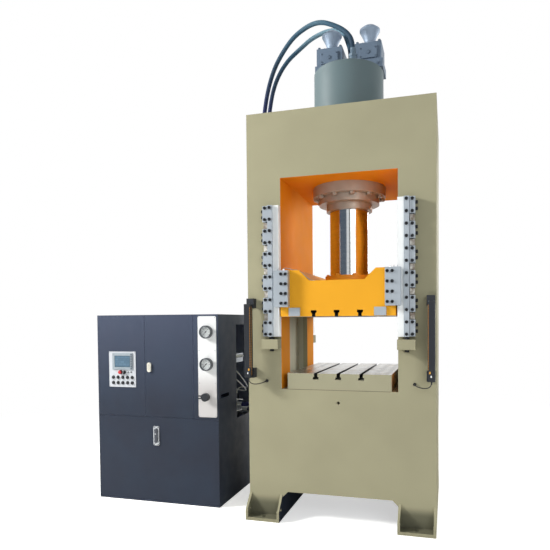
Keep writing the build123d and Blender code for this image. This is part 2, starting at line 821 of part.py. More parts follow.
# Control door, cut out behind the control plate
pivot_bore = pin_diameter + 2 * pin_fit
with BuildPart() as control_door:
    folded_pan((control_left, control_right), (door_bottom, door_top))
    rod_along("z", (control_pin_x, pin_y, door_bottom), pivot_bore, door_top - door_bottom, Mode.SUBTRACT)
    slab((control_plate_left + plate_cutout_inset, control_plate_right - plate_cutout_inset),
         (unit_front, unit_front + door_sheet),
         (control_plate_bottom + plate_cutout_inset, control_plate_top - plate_cutout_inset), Mode.SUBTRACT)
control_door.part.label = "control_door"
export_step(control_door.part, "parts/control_door.step")

with BuildPart() as main_door:
    folded_pan((main_left, main_right), (door_bottom, door_top))
    rod_along("z", (main_pin_x, pin_y, door_bottom), pivot_bore, door_top - door_bottom, Mode.SUBTRACT)
    rod_along("y", (latch_x, unit_front, latch_z), spindle_bore, door_sheet, Mode.SUBTRACT)
main_door.part.label = "main_door"
export_step(main_door.part, "parts/main_door.step")

with BuildPart() as lower_panel:
    folded_pan((lower_left, lower_right), (lower_bottom, lower_top))
    rod_along("x", (lower_left, pin_y, lower_pin_z), pivot_bore, lower_right - lower_left, Mode.SUBTRACT)
    rod_along("y", (lower_latch_x, unit_front, lower_lever_z), spindle_bore, door_sheet, Mode.SUBTRACT)
lower_panel.part.label = "lower_panel"
export_step(lower_panel.part, "parts/lower_panel.step")

# Pivot pins, fixed in the shell, that reach into the folded edges of the doors
with BuildPart() as hinge_pins:
    for pin_x in (control_pin_x, main_pin_x):
        for low, high in ((shelf_top, door_bottom + pin_reach), (door_top - pin_reach, unit_height - sheet)):
            rod_along("z", (pin_x, pin_y, low), pin_diameter, high - low)
    rod_along("x", (wall_left, pin_y, lower_pin_z), pin_diameter, panel_side_gap + pin_reach)
    rod_along("x", (lower_right - pin_reach, pin_y, lower_pin_z), pin_diameter, panel_side_gap + pin_reach)
hinge_pins.part.label = "hinge_pins"
export_step(hinge_pins.part, "parts/hinge_pins.step")

# Control plate, with a hole for each device and a window for the screen's body
screen_x = (screen_left + screen_body_inset, screen_left + screen_width - screen_body_inset)
screen_z = (screen_bottom + screen_body_inset, screen_bottom + screen_height - screen_body_inset)
with BuildPart() as control_plate:
    slab((control_plate_left, control_plate_right), (plate_front, unit_front),
         (control_plate_bottom, control_plate_top))
    slab(screen_x, (plate_front, unit_front), screen_z, Mode.SUBTRACT)
    for x, z in button_places:
        rod_along("y", (x, plate_front, z), button_bore, control_plate_thickness, Mode.SUBTRACT)
    for x in (estop_x, selector_x):
        rod_along("y", (x, plate_front, estop_z), estop_stem + 2 * stem_fit, control_plate_thickness,
                  Mode.SUBTRACT)
control_plate.part.label = "control_plate"
export_step(control_plate.part, "parts/control_plate.step")

# Touch screen: a bezel around the sunk display, and the body behind the plate
with BuildPart() as touch_screen:
    slab((screen_left, screen_left + screen_width), (plate_front - screen_depth, plate_front),
         (screen_bottom, screen_bottom + screen_height))
    slab((screen_left + screen_frame, screen_left + screen_width - screen_frame),
         (plate_front - screen_depth, plate_front - screen_depth + screen_recess),
         (screen_bottom + screen_frame, screen_bottom + screen_height - screen_frame), Mode.SUBTRACT)
    slab(screen_x, (plate_front, plate_front + screen_body_depth), screen_z)
touch_screen.part.label = "touch_screen"
export_step(touch_screen.part, "parts/touch_screen.step")

# Push buttons: a capped plunger through the plate
for number, (x, z) in enumerate(button_places, 1):
    with BuildPart() as button:
        rod_along("y", (x, plate_front - button_proud, z), button_diameter, button_proud + stem_reach)
        chamfer(button.faces().sort_by(Axis.Y)[0].edges(), button_edge)
    button.part.label = f"button_{number}"
    export_step(button.part, f"parts/button_{number}.step")

# Emergency stop: a mushroom cap on its stem
with BuildPart() as estop_button:
    estop_front = plate_front - estop_height
    rod_along("y", (estop_x, estop_front, estop_z), estop_stem, estop_height + stem_reach)
    rod_along("y", (estop_x, estop_front, estop_z), estop_diameter, estop_cap)
    fillet(estop_button.faces().sort_by(Axis.Y)[0].edges(), estop_cap / 2)
estop_button.part.label = "estop_button"
export_step(estop_button.part, "parts/estop_button.step")

# Mode selector: a round boss with a grip bar across it
with BuildPart() as mode_selector:
    selector_front = plate_front - selector_height
    rod_along("y", (selector_x, selector_front, estop_z), selector_diameter, selector_height - stem_fit)
    rod_along("y", (selector_x, selector_front, estop_z), estop_stem, selector_height + stem_reach)
    slab((selector_x - selector_grip / 2, selector_x + selector_grip / 2),
         (selector_front - selector_lever_height, selector_front),
         (estop_z - selector_lever / 2, estop_z + selector_lever / 2))
mode_selector.part.label = "mode_selector"
export_step(mode_selector.part, "parts/mode_selector.step")

# Latch of the main door: a rounded handle on its spindle
with BuildPart() as upper_latch:
    handle_back = unit_front - lever_gap
    with BuildSketch(Plane.XZ.offset(-handle_back)):
        with Locations((latch_x, latch_z)):
            SlotOverall(latch_height, latch_width, rotation=90)
    extrude(amount=latch_depth)
    rod_along("y", (latch_x, handle_back, latch_z), spindle_diameter, lever_gap + spindle_reach)
upper_latch.part.label = "upper_latch"
export_step(upper_latch.part, "parts/upper_latch.step")

# Plate of the lower latch, screwed on the lower panel, and the lever that turns on it
with BuildPart() as latch_plate:
    slab((lower_latch_x - lower_latch_width / 2, lower_latch_x + lower_latch_width / 2),
         (latch_plate_front, unit_front), (lower_latch_bottom, lower_latch_bottom + lower_latch_height))
    fillet(latch_plate.edges().filter_by(Axis.Y), lower_latch_width / 5)
    rod_along("y", (lower_latch_x, latch_plate_front, lower_lever_z), spindle_bore, lower_latch_plate,
              Mode.SUBTRACT)
latch_plate.part.label = "latch_plate"
export_step(latch_plate.part, "parts/latch_plate.step")

with BuildPart() as lower_latch:
    lever_back = latch_plate_front - lever_gap
    with BuildSketch(Plane.XZ.offset(-lever_back)):
        with Locations((lower_latch_x, lower_lever_z - lever_offset)):
            SlotOverall(lower_lever_height, lower_lever_width, rotation=90)
    extrude(amount=lower_lever_depth)
    rod_along("y", (lower_latch_x, lever_back, lower_lever_z), spindle_diameter,
              lever_gap + lower_latch_plate + spindle_reach)
lower_latch.part.label = "lower_latch"
export_step(lower_latch.part, "parts/lower_latch.step")

# Gauge plate with its rounded corners and the hole for the knob's stem
with BuildPart() as gauge_plate:
    slab((gauge_x - gauge_plate_width / 2, gauge_x + gauge_plate_width / 2), (gauge_plate_front, unit_front),
         (gauge_plate_bottom, gauge_plate_bottom + gauge_plate_height))
    fillet(gauge_plate.edges().filter_by(Axis.Y), gauge_plate_corner)
    rod_along("y", (gauge_x, gauge_plate_front, knob_z), knob_stem + 2 * spindle_fit, gauge_plate_thickness,
              Mode.SUBTRACT)
gauge_plate.part.label = "gauge_plate"
export_step(gauge_plate.part, "parts/gauge_plate.step")

# Gauge cases: a cup around the dial, with the bearing hole of the needle
with BuildPart() as gauge_cases:
    for height in gauge_heights:
        rod_along("y", (gauge_x, case_front, height), gauge_diameter, gauge_depth)
        rod_along("y", (gauge_x, case_front, height), gauge_dial, gauge_recess, Mode.SUBTRACT)
        rod_along("y", (gauge_x, dial_face, height), needle_pin + 2 * needle_fit,
                  needle_pin_depth + needle_clearance, Mode.SUBTRACT)
gauge_cases.part.label = "gauge_cases"
export_step(gauge_cases.part, "parts/gauge_cases.step")


# Needle of a gauge, at its zero mark
def gauge_needle(height, name):
    direction = (cos(radians(zero_angle)), 0, sin(radians(zero_angle)))
    with BuildPart() as needle:
        with BuildSketch(Plane((gauge_x, needle_back, height), x_dir=direction, z_dir=(0, -1, 0))):
            with BuildLine():
                Polyline((-needle_tail, needle_width / 2), (-needle_tail, -needle_width / 2),
                         (needle_length, -needle_thickness / 2), (needle_length, needle_thickness / 2),
                         close=True)
            make_face()
        extrude(amount=needle_thickness)
        rod_along("y", (gauge_x, needle_back - needle_boss_height, height), needle_boss, needle_boss_height)
        rod_along("y", (gauge_x, needle_back, height), needle_pin, needle_clearance + needle_pin_depth)
    needle.part.label = name
    export_step(needle.part, f"parts/{name}.step")


gauge_needle(gauge_heights[0], "needle_upper")
gauge_needle(gauge_heights[1], "needle_lower")

# Pressure knob: a chamfered wheel on its stem, with a forked prong at one side
knob_front = gauge_plate_front - knob_stand - knob_depth
knob_middle = knob_front + knob_depth / 2
prong_y = (knob_middle - knob_prong_thickness / 2, knob_middle + knob_prong_thickness / 2)
with BuildPart() as pressure_knob:
    rod_along("y", (gauge_x, knob_front, knob_z), knob_diameter, knob_depth)
    chamfer(pressure_knob.edges().filter_by(GeomType.CIRCLE), knob_depth / 10)
    rod_along("y", (gauge_x, knob_front, knob_z), knob_stem, unit_front + sheet - knob_front)
    slab((gauge_x - knob_prong_length, gauge_x), prong_y,
         (knob_z - knob_prong_width / 2, knob_z + knob_prong_width / 2))
    slab((gauge_x - knob_prong_length, gauge_x - knob_diameter / 2 - knob_prong_slot / 2), prong_y,
         (knob_z - knob_prong_slot / 2, knob_z + knob_prong_slot / 2), Mode.SUBTRACT)
pressure_knob.part.label = "pressure_knob"
export_step(pressure_knob.part, "parts/pressure_knob.step")

# Oil tank: a closed welded box in the lower rear of the cabinet
tank_x = (wall_left + tank_gap, wall_right - tank_gap)
tank_y = (partition_y + sheet + tank_gap, unit_back - sheet - tank_gap)
with BuildPart() as oil_tank:
    slab(tank_x, tank_y, (plinth, tank_top))
    slab((tank_x[0] + tank_wall, tank_x[1] - tank_wall), (tank_y[0] + tank_wall, tank_y[1] - tank_wall),
         (plinth + tank_wall, tank_top - tank_wall), Mode.SUBTRACT)
oil_tank.part.label = "oil_tank"
export_step(oil_tank.part, "parts/oil_tank.step")

# Motor with its feet and terminal box, its bell housing and the pump, all on one axis
with BuildPart() as pump_motor:
    start = motor_left - motor_shell
    for diameter, length in ((fan_cowl, motor_shell), (motor_diameter, motor_length),
                             (bell_housing, bell_housing_length), (pump_diameter, pump_length)):
        rod_along("x", (start, motor_axis_y, motor_axis_z), diameter, length)
        start += length
    foot_y = (motor_axis_y - motor_foot_spread / 2, motor_axis_y + motor_foot_spread / 2)
    for foot_x in (motor_left + motor_foot_width, motor_left + motor_length - 2 * motor_foot_width):
        slab((foot_x, foot_x + motor_foot_width), foot_y, (plinth, motor_axis_z))
    box_x = motor_left + motor_length / 2
    slab((box_x - terminal_box / 2, box_x + terminal_box / 2),
         (motor_axis_y - terminal_box / 2, motor_axis_y + terminal_box / 2),
         (motor_axis_z, motor_axis_z + motor_diameter / 2 + terminal_box_height))
pump_motor.part.label = "pump_motor"
export_step(pump_motor.part, "parts/pump_motor.step")

# Valve manifold on the tank: block, valves on top, a riser and the upper distribution block
manifold_left = manifold_right - manifold_width
manifold_top = tank_top + manifold_height
upper_x = (upper_block_right - upper_block[0], upper_block_right)
with BuildPart() as valve_manifold:
    slab((manifold_left, manifold_right), (manifold_front, manifold_front + manifold_depth),
         (tank_top, manifold_top))
    for place in range(3):
        valve_y = manifold_front + valve_gap + place * (valve_body + valve_gap)
        slab((manifold_left + valve_gap, manifold_left + valve_gap + valve_body),
             (valve_y, valve_y + valve_body), (manifold_top, manifold_top + valve_body_height))
    rod_along("z", (manifold_right - riser_inset, riser_y, manifold_top), riser_diameter,
              upper_block_bottom - manifold_top)
    slab(upper_x, (riser_y - upper_block[1] / 2, riser_y + upper_block[1] / 2),
         (upper_block_bottom, upper_block_bottom + upper_block[2]))
valve_manifold.part.label = "valve_manifold"
export_step(valve_manifold.part, "parts/valve_manifold.step")

# Fittings at the ends of both hoses, bushes of the curtain cables and two steel pipes in the side bay
pipe_x = manifold_right - pipe_diameter
pipe_start = riser_y - upper_block[1] / 2 + pipe_diameter
pipe_foot = manifold_top + pipe_lead
partition_back = partition_y + sheet
high_pipe_route = [
    (pipe_x, pipe_start, upper_block_bottom), (pipe_x, pipe_start, upper_block_bottom - pipe_lead),
    (pipe_x, high_pipe_end, pipe_foot), (pipe_x, high_pipe_end, manifold_top)]
low_pipe_route = [
    (pipe_x, partition_back, low_pipe_z), (pipe_x, partition_back + pipe_lead, low_pipe_z),
    (pipe_x, low_pipe_end, pipe_foot), (pipe_x, low_pipe_end, manifold_top)]
with BuildPart() as line_fittings:
    for route in (pressure_hose_route, return_hose_route):
        start = route[0]
        end = route[-1]
        rod_along("z", (start[0], start[1], barrel_top), hose_fitting, start[2] - barrel_top)
        rod_along("x", (manifold_right, end[1], end[2]), hose_fitting, end[0] - manifold_right)
    for x_side in (-1, 1):
        entry = (x_side * cable_route[-1][0], cable_route[-1][1], cable_route[-1][2])
        rod_along("y", entry, cable_bush, -half_depth - entry[1])
    for route in (high_pipe_route, low_pipe_route):
        with BuildLine() as path:
            FilletPolyline(*route, radius=pipe_bend)
        with BuildSketch(Plane(origin=route[0], z_dir=Vector(*route[1]) - Vector(*route[0]))):
            Circle(pipe_diameter / 2)
        sweep(path=path.line)
line_fittings.part.label = "line_fittings"
export_step(line_fittings.part, "parts/line_fittings.step")

# Electrical panel on the partition: plate, rows of contactors and the wiring ducts above them
plate_y = (partition_y - panel_plate, partition_y)
panel_x = (wall_left + panel_margin, panel_left - panel_margin)
with BuildPart() as electrical_panel:
    slab(panel_x, plate_y, (shelf_top + panel_margin, unit_height - sheet - panel_margin))
    pitch = (panel_x[1] - panel_x[0]) / relay_columns
    for row in range(relay_rows):
        low = shelf_top + 2 * panel_margin + row * relay_pitch_z
        for column in range(relay_columns):
            middle = panel_x[0] + (column + 0.5) * pitch
            slab((middle - relay_width / 2, middle + relay_width / 2),
                 (plate_y[0] - relay_depth, plate_y[0]), (low, low + relay_height))
        duct_low = low + relay_height + duct_height
        slab((panel_x[0] + panel_margin / 2, panel_x[1] - panel_margin / 2),
             (plate_y[0] - duct_depth, plate_y[0]), (duct_low, duct_low + duct_height))
electrical_panel.part.label = "electrical_panel"
export_step(electrical_panel.part, "parts/electrical_panel.step")
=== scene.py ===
"""Dresses a straight-side hydraulic press and its power and control cabinet: finishes, fine parts and a studio."""

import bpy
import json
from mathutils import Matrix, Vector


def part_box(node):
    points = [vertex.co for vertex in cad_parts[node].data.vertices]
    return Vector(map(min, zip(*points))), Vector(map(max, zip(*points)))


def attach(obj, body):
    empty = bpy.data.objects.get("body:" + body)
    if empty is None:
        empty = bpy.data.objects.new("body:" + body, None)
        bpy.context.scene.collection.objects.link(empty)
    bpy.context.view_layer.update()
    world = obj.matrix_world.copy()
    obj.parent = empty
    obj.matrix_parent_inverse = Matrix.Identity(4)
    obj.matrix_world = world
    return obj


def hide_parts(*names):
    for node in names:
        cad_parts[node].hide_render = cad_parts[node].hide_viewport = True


bl_info = {
    "name": "Hydraulic Press Dressing",
    "version": (1, 0, 0),
    "blender": (4, 5, 0),
    "location": "View3D > Sidebar > Press",
    "description": "Finishes, fine parts and a studio for a straight-side hydraulic press and its cabinet",
    "category": "Object",
}

import json
from math import cos, pi, radians, sin

import bpy
import numpy as np
from mathutils import Matrix, Vector

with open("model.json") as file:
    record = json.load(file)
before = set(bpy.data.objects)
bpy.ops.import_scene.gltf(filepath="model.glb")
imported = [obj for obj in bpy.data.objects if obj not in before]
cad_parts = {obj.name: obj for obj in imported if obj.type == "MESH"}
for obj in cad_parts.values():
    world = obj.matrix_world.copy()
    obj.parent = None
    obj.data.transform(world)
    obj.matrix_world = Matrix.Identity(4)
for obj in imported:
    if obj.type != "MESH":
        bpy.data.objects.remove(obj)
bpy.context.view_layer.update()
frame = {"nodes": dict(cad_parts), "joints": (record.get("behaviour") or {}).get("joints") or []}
MM = 0.001
CORNERS = ((-1, -1), (-1, 1), (1, -1), (1, 1))
JOINTS = {joint["name"]: joint for joint in frame["joints"]}
KEEPER_WIDTH = 39 * MM   # Across the strip beside each rail
SLOTS_REACH = 210 * MM   # The T-slots lie within this far of the middle, on the bolster and under the slide
WAVE_SCALE = 0.314       # Metres between the waves of a Wave Texture at scale 1: 2 pi / 20


def pivot(joint):
    """The point in metres about which a joint turns."""
    return Vector(JOINTS[joint]["pos_m"])


def middle(node):
    """The middle of a node's box, in metres."""
    return [(least + most) / 2 for least, most in zip(*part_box(node))]


def finish_of(node):
    """The material that a CAD node wears."""
    return frame["nodes"][node].data.materials[0]


def in_mm(*pairs):
    """A profile of (diameter, height) pairs, given in millimetres."""
    return [(diameter * MM, height * MM) for diameter, height in pairs]


def linear(colour):
    """Linear parts of an sRGB hex colour: c / 12.92 up to 0.04045, above it ((c + 0.055) / 1.055) to the 2.4."""
    parts = np.array([int(colour[start:start + 2], 16) for start in (1, 3, 5)]) / 255
    return tuple(float(c) for c in np.where(parts <= 0.04045, parts / 12.92, ((parts + 0.055) / 1.055) ** 2.4))


# Settings a user would change
class PressFinishes(bpy.types.PropertyGroup):
    frame_colour: bpy.props.FloatVectorProperty(
        name="Frame enamel", description="Colour of the enamel on the press frame", size=3,
        default=linear("#a4a085"), subtype="COLOR", min=0, max=1)
    window_colour: bpy.props.FloatVectorProperty(
        name="Window enamel", description="Colour of the enamel inside the press window", size=3,
        default=linear("#e6901c"), subtype="COLOR", min=0, max=1)
    slide_colour: bpy.props.FloatVectorProperty(
        name="Slide enamel", description="Colour of the enamel on the slide", size=3,
        default=linear("#eda92b"), subtype="COLOR", min=0, max=1)
    cylinder_colour: bpy.props.FloatVectorProperty(
        name="Cylinder enamel", description="Colour of the enamel on the cylinder barrel", size=3,
        default=linear("#64767a"), subtype="COLOR", min=0, max=1)
    cabinet_colour: bpy.props.FloatVectorProperty(
        name="Cabinet powder coat", description="Colour of the powder coat on the cabinet", size=3,
        default=linear("#434c62"), subtype="COLOR", min=0, max=1)


class LineSizes(bpy.types.PropertyGroup):
    hose_diameter: bpy.props.FloatProperty(
        name="Hose diameter", description="Outer diameter of both oil hoses", default=38 * MM, unit="LENGTH")
    cable_diameter: bpy.props.FloatProperty(
        name="Cable diameter", description="Outer diameter of the curtain cables", default=7 * MM, unit="LENGTH")
    ferrule_length: bpy.props.FloatProperty(
        name="Ferrule length", description="Length of the swaged sleeve on a hose end", default=50 * MM,
        unit="LENGTH")
    grease_pipe: bpy.props.FloatProperty(
        name="Grease pipe diameter", description="Outer diameter of the slide's grease pipes", default=6 * MM,
        unit="LENGTH")


class GaugeSizes(bpy.types.PropertyGroup):
    rim_width: bpy.props.FloatProperty(
        name="Rim width", description="Width of the rim round the gauge glass", default=9 * MM, unit="LENGTH")
    number_size: bpy.props.FloatProperty(
        name="Number size", description="Height of the numbers on the dials", default=9 * MM, unit="LENGTH")
    sweep: bpy.props.FloatProperty(
        name="Scale sweep", description="Angle from the first to the last mark of a dial", default=radians(270),
        subtype="ANGLE")


class StudioSettings(bpy.types.PropertyGroup):
    key_power: bpy.props.FloatProperty(
        name="Key lamp", description="Power of the lamp at the far left", default=598, unit="POWER")
    fill_power: bpy.props.FloatProperty(
        name="Fill lamp", description="Power of the lamp at the front right", default=115, unit="POWER")
    rear_power: bpy.props.FloatProperty(
        name="Rear lamp", description="Power of the lamp behind the press, at the right", default=200, unit="POWER")
    sky_strength: bpy.props.FloatProperty(
        name="Sky strength", description="Strength of the even light from all round", default=0.3, min=0)


def settings(group):
    """The add-on's settings of one group."""
    return getattr(bpy.context.scene, group)


# Surfaces worked out with numpy
FACING = {
    "+x": ((0, 1, 0), (0, 0, 1), (1, 0, 0)),
    "-x": ((0, -1, 0), (0, 0, 1), (-1, 0, 0)),
    "+y": ((-1, 0, 0), (0, 0, 1), (0, 1, 0)),
    "-y": ((1, 0, 0), (0, 0, 1), (0, -1, 0)),
    "+z": ((1, 0, 0), (0, 1, 0), (0, 0, 1)),
    "-z": ((1, 0, 0), (0, -1, 0), (0, 0, -1)),
}


def circle(diameter, count=48, turn=0.0):
    """Points (d/2 cos t, d/2 sin t) for evenly spaced t from 0 to one turn."""
    t = turn + np.linspace(0, 2 * pi, count, endpoint=False)
    return diameter / 2 * np.stack([np.cos(t), np.sin(t)], 1)


def hexagon(across_flats, per_side=8):
    """A hexagon of that width across its flats: each side a straight run of evenly spaced points."""
    corners = circle(across_flats / cos(pi / 6), 6, pi / 6)
    share = np.linspace(0, 1, per_side, endpoint=False)[None, :, None]
    return ((1 - share) * corners[:, None] + share * np.roll(corners, -1, 0)[:, None]).reshape(-1, 2)


def rounded(width, height, radius):
    """A rectangle whose corners are quarter circles: corner centre plus radius times (cos t, sin t)."""
    radius = min(radius, width / 2, height / 2)
    t = np.linspace(0, pi / 2, 6)
    arcs = [np.stack([sx * (width / 2 - radius) + radius * np.cos(t + quarter * pi / 2),
                      sy * (height / 2 - radius) + radius * np.sin(t + quarter * pi / 2)], 1)
            for quarter, (sx, sy) in enumerate(((1, 1), (-1, 1), (-1, -1), (1, -1)))]
    return np.concatenate(arcs)


def grid_faces(rows, columns, wrap_rows=False):
    """Quads of a grid whose columns wrap round; its rows wrap too if asked."""
    i, j = np.meshgrid(np.arange(rows if wrap_rows else rows - 1), np.arange(columns), indexing="ij")
    below, beside = (i + 1) % rows, (j + 1) % columns
    return np.stack([i * columns + j, i * columns + beside, below * columns + beside, below * columns + j],
                    -1).reshape(-1, 4).tolist()


def stack(levels, centre, facing="-y", hollow=False):
    """Outlines carried out along a direction: point = centre + a u + b v + h w for each (outline, h) level. The
    ends are closed with flat faces, or a hollow stack closes on itself, as a ring does."""
    u, v, w = (np.array(axis, float) for axis in FACING[facing])
    count = len(levels[0][0])
    points = np.concatenate([outline[:, :1] * u + outline[:, 1:] * v + height * w for outline, height in levels])
    faces = grid_faces(len(levels), count, hollow)
    if not hollow:
        last = (len(levels) - 1) * count
        faces += [list(range(count))[::-1], list(range(last, last + count))]
    return points + np.array(centre, float), faces


def turned(profile, centre, facing="-y", count=48, hollow=False):
    """A lathe shape: the circle of each (diameter, height) pair carried out along a direction."""
    return stack([(circle(diameter, count), height) for diameter, height in profile], centre, facing, hollow)


def hexagonal(profile, centre, facing="-y", per_side=8):
    """The same with the hexagon of each (width across flats, height) pair."""
    return stack([(hexagon(across, per_side), height) for across, height in profile], centre, facing)


def slab(levels, centre, facing="-y", hollow=False):
    """The same with the rounded rectangle of each (width, height, corner radius, distance out) level."""
    return stack([(rounded(*outline), out) for *outline, out in levels], centre, facing, hollow)


def pad(width, height, thickness, centre, facing, corner, edge):
    """A flat plate with round corners whose front edge is chamfered by edge."""
    return slab([(width, height, corner, 0), (width, height, corner, thickness - edge),
                 (width - 2 * edge, height - 2 * edge, max(corner - edge, edge / 2), thickness)], centre, facing)


def socket_screw(centre, facing, diameter, height, per_side=4, floor=0.4):
    """A cap screw: a turned head with a chamfered rim and a hexagon socket sunk in it down to a share of its
    height, as one closed surface."""
    rim = circle(diameter, 6 * per_side, pi / 6)
    hollow = hexagon(diameter * 0.5, per_side)
    return stack([(rim, 0), (rim, height * 0.88), (rim * 0.9, height), (hollow * 1.06, height),
                  (hollow, height * floor)], centre, facing)


def corner_screws(node, inset, diameter, height, rows=2):
    """Cap screws on the front of a plate, in two columns that lie inset from its edges."""
    low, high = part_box(node)
    return [socket_screw((x, low.y, z), "-y", diameter, height) for x in (low.x + inset, high.x - inset)
            for z in np.linspace(low.z + inset, high.z - inset, rows)]


def along(path, radius):
    """A round tube along a list of points: ring = point + radius (cos t normal + sin t binormal), with the normal
    carried from one point to the next so that the tube doesn't twist."""
    count = 16
    tangents = np.gradient(path, axis=0)
    tangents /= np.linalg.norm(tangents, axis=1)[:, None]
    normal = np.cross(tangents[0], (0.31, 0.22, 0.92))
    t = np.linspace(0, 2 * pi, count, endpoint=False)[:, None]
    rings = []
    for point, tangent in zip(path, tangents):
        normal = normal - tangent * (normal @ tangent)
        normal /= np.linalg.norm(normal)
        rings.append(point + radius * (np.cos(t) * normal + np.sin(t) * np.cross(tangent, normal)))
    last = (len(path) - 1) * count
    faces = grid_faces(len(path), count) + [list(range(count))[::-1], list(range(last, last + count))]
    return np.concatenate(rings), faces


def smooth_path(points):
    """Quadratic curve through the middles of a chosen line's runs, with its two ends kept: for each corner,
    (1-t)^2 a + 2 t (1-t) corner + t^2 b, where a and b are the middles of the runs beside it."""
    points = np.array(points, float)
    middles = (points[:-1] + points[1:]) / 2
    middles[0], middles[-1] = points[0], points[-1]
    t = np.linspace(0, 1, 10)[:, None]
    pieces = [(1 - t) ** 2 * a + 2 * t * (1 - t) * corner + t ** 2 * b
              for a, corner, b in zip(middles[:-1], points[1:-1], middles[1:])]
    return np.concatenate([pieces[0]] + [piece[1:] for piece in pieces[1:]])


def piece(name, shells, body, slot, material, smooth=True):
    """Joins closed surfaces into one mesh object that rides on a body and wears the given material; the slot is not
    used.
    """
    points, faces, start = [], [], 0
    for shell_points, shell_faces in shells:
        points.append(shell_points)
        faces += [[start + corner for corner in face] for face in shell_faces]
        start += len(shell_points)
    mesh = bpy.data.meshes.new(name)
    mesh.from_pydata(np.concatenate(points).tolist(), [], faces)
    mesh.validate()
    mesh.materials.append(material)
    obj = bpy.data.objects.new(name, mesh)
    bpy.context.scene.collection.objects.link(obj)
    if smooth:
        mesh.shade_smooth()
        mesh.set_sharp_from_angle(angle=radians(32))
    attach(obj, body)
    return obj


# Materials
def add_node(tree, kind, inputs=(), output=None, **options):
    """Adds a node, sets its options, and links each input, by name or number, to a socket or gives it a value; a
    colour may be hex and gets its alpha. Returns the named output, or else the first that the options leave on."""
    node = tree.nodes.new("ShaderNode" + kind)
    for key, value in options.items():
        setattr(node, key, value)
    for key, value in dict(inputs).items():
        socket = node.inputs[key]
        if isinstance(value, bpy.types.NodeSocket):
            tree.links.new(value, socket)
        elif socket.type == "RGBA":
            socket.default_value = (*(linear(value) if isinstance(value, str) else value), 1)
        else:
            socket.default_value = value
    return node.outputs[output] if output else next((socket for socket in node.outputs if socket.enabled), None)


def blank_material(name, **constants):
    """A material with one Principled shader, whose sockets named in constants are set; returns its shader and
    Object coordinates too."""
    material = bpy.data.materials.new(name)
    material.use_nodes = True
    tree = material.node_tree
    shader = tree.nodes["Principled BSDF"]
    for key, value in constants.items():
        shader.inputs[key.replace("_", " ")].default_value = value
    return material, shader, add_node(tree, "TexCoord", output="Object")


def reopened(material):
    """A finished material again, with its shader, Object coordinates and the colour that it has so far."""
    tree = material.node_tree
    shader = tree.nodes["Principled BSDF"]
    place = next(node for node in tree.nodes if node.type == "TEX_COORD").outputs["Object"]
    return material, shader, place, shader.inputs["Base Color"].links[0].from_socket


def drive(shader, **outputs):
    """Links outputs to the shader's sockets of those names."""
    for key, output in outputs.items():
        shader.id_data.links.new(output, shader.inputs[key.replace("_", " ")])


def speckled(place, size, low=0.0, high=1.0, detail=3.0, stretch=(1, 1, 1)):
    """A noise of features of that size in metres, spread from low to high; stretch lengthens it along an axis."""
    tree = place.id_data
    scaled = add_node(tree, "Mapping", {"Vector": place, "Scale": [1 / s for s in stretch]})
    noise = add_node(tree, "TexNoise", {"Vector": scaled, "Scale": 1 / size, "Detail": detail}, "Fac")
    return add_node(tree, "MapRange", {"Value": noise, "From Min": 0.3, "From Max": 0.7, "To Min": low,
                                       "To Max": high})


def mottled(place, size, colour, darker, lighter, detail=3.0):
    """A colour that drifts from a darker to a lighter share of itself in patches of that size."""
    return add_node(place.id_data, "Mix", {0: speckled(place, size, detail=detail), 6: shade(colour, darker),
                                           7: shade(colour, lighter)}, data_type="RGBA")


def grained(place, size, depth, strength, detail=1.0):
    """The relief of a grain of that size and depth in metres."""
    return add_node(place.id_data, "Bump", {"Height": speckled(place, size, detail=detail), "Distance": depth,
                                            "Strength": strength})


def shade(colour, share):
    """A linear colour made darker or lighter by a share."""
    return tuple(min(1.0, c * share) for c in colour[:3])


def inside(place, limits):
    """1 where the Object coordinates lie between the limits given for some of the axes, else 0."""
    tree = place.id_data
    split = add_node(tree, "SeparateXYZ", {"Vector": place}).node.outputs
    factor = None
    for axis, edges in limits.items():
        for edge, kind in zip(edges, ("GREATER_THAN", "LESS_THAN")):
            test = add_node(tree, "Math", {0: split[axis], 1: edge}, operation=kind)
            factor = add_node(tree, "Math", {0: factor, 1: test}, operation="MULTIPLY") if factor else test
    return factor


def sideways(area):
    """The part of an area where the surface looks mostly across Y, so neither to the front nor to the back."""
    tree = area.id_data
    normal = add_node(tree, "NewGeometry", output="True Normal")
    size = add_node(tree, "Math", {0: add_node(tree, "SeparateXYZ", {"Vector": normal}, "Y")}, operation="ABSOLUTE")
    across = add_node(tree, "Math", {0: size, 1: 0.5}, operation="LESS_THAN")
    return add_node(tree, "Math", {0: area, 1: across}, operation="MULTIPLY")


def enamel(name, colour, roughness=0.5, specular=0.4):
    """Sprayed machine enamel: even, half gloss, with a faint orange peel and slow drifts of tone."""
    material, shader, place = blank_material(name, Specular_IOR_Level=specular)
    # Real orange peel is about 2 mm; drawn at 9 mm so that it shows at all
    drive(shader, Base_Color=mottled(place, 0.5, colour, 0.955, 1.045, 2.0),
          Normal=grained(place, 9 * MM, 0.4 * MM, 0.35),
          Roughness=speckled(place, 0.11, roughness - 0.05, roughness + 0.06))
    return material


def window_box():
    """Lowest and highest corner of the press window: between the inner walls, from the bed up to the crown."""
    inner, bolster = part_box("inner_walls"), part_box("bolster")
    wall = 40 * MM
    soffit = min(v.co.z for v in frame["nodes"]["crown_beam"].data.vertices)
    return (Vector((inner[0].x + wall, bolster[0].y, bolster[0].z)),
            Vector((inner[1].x - wall, bolster[1].y, soffit)))


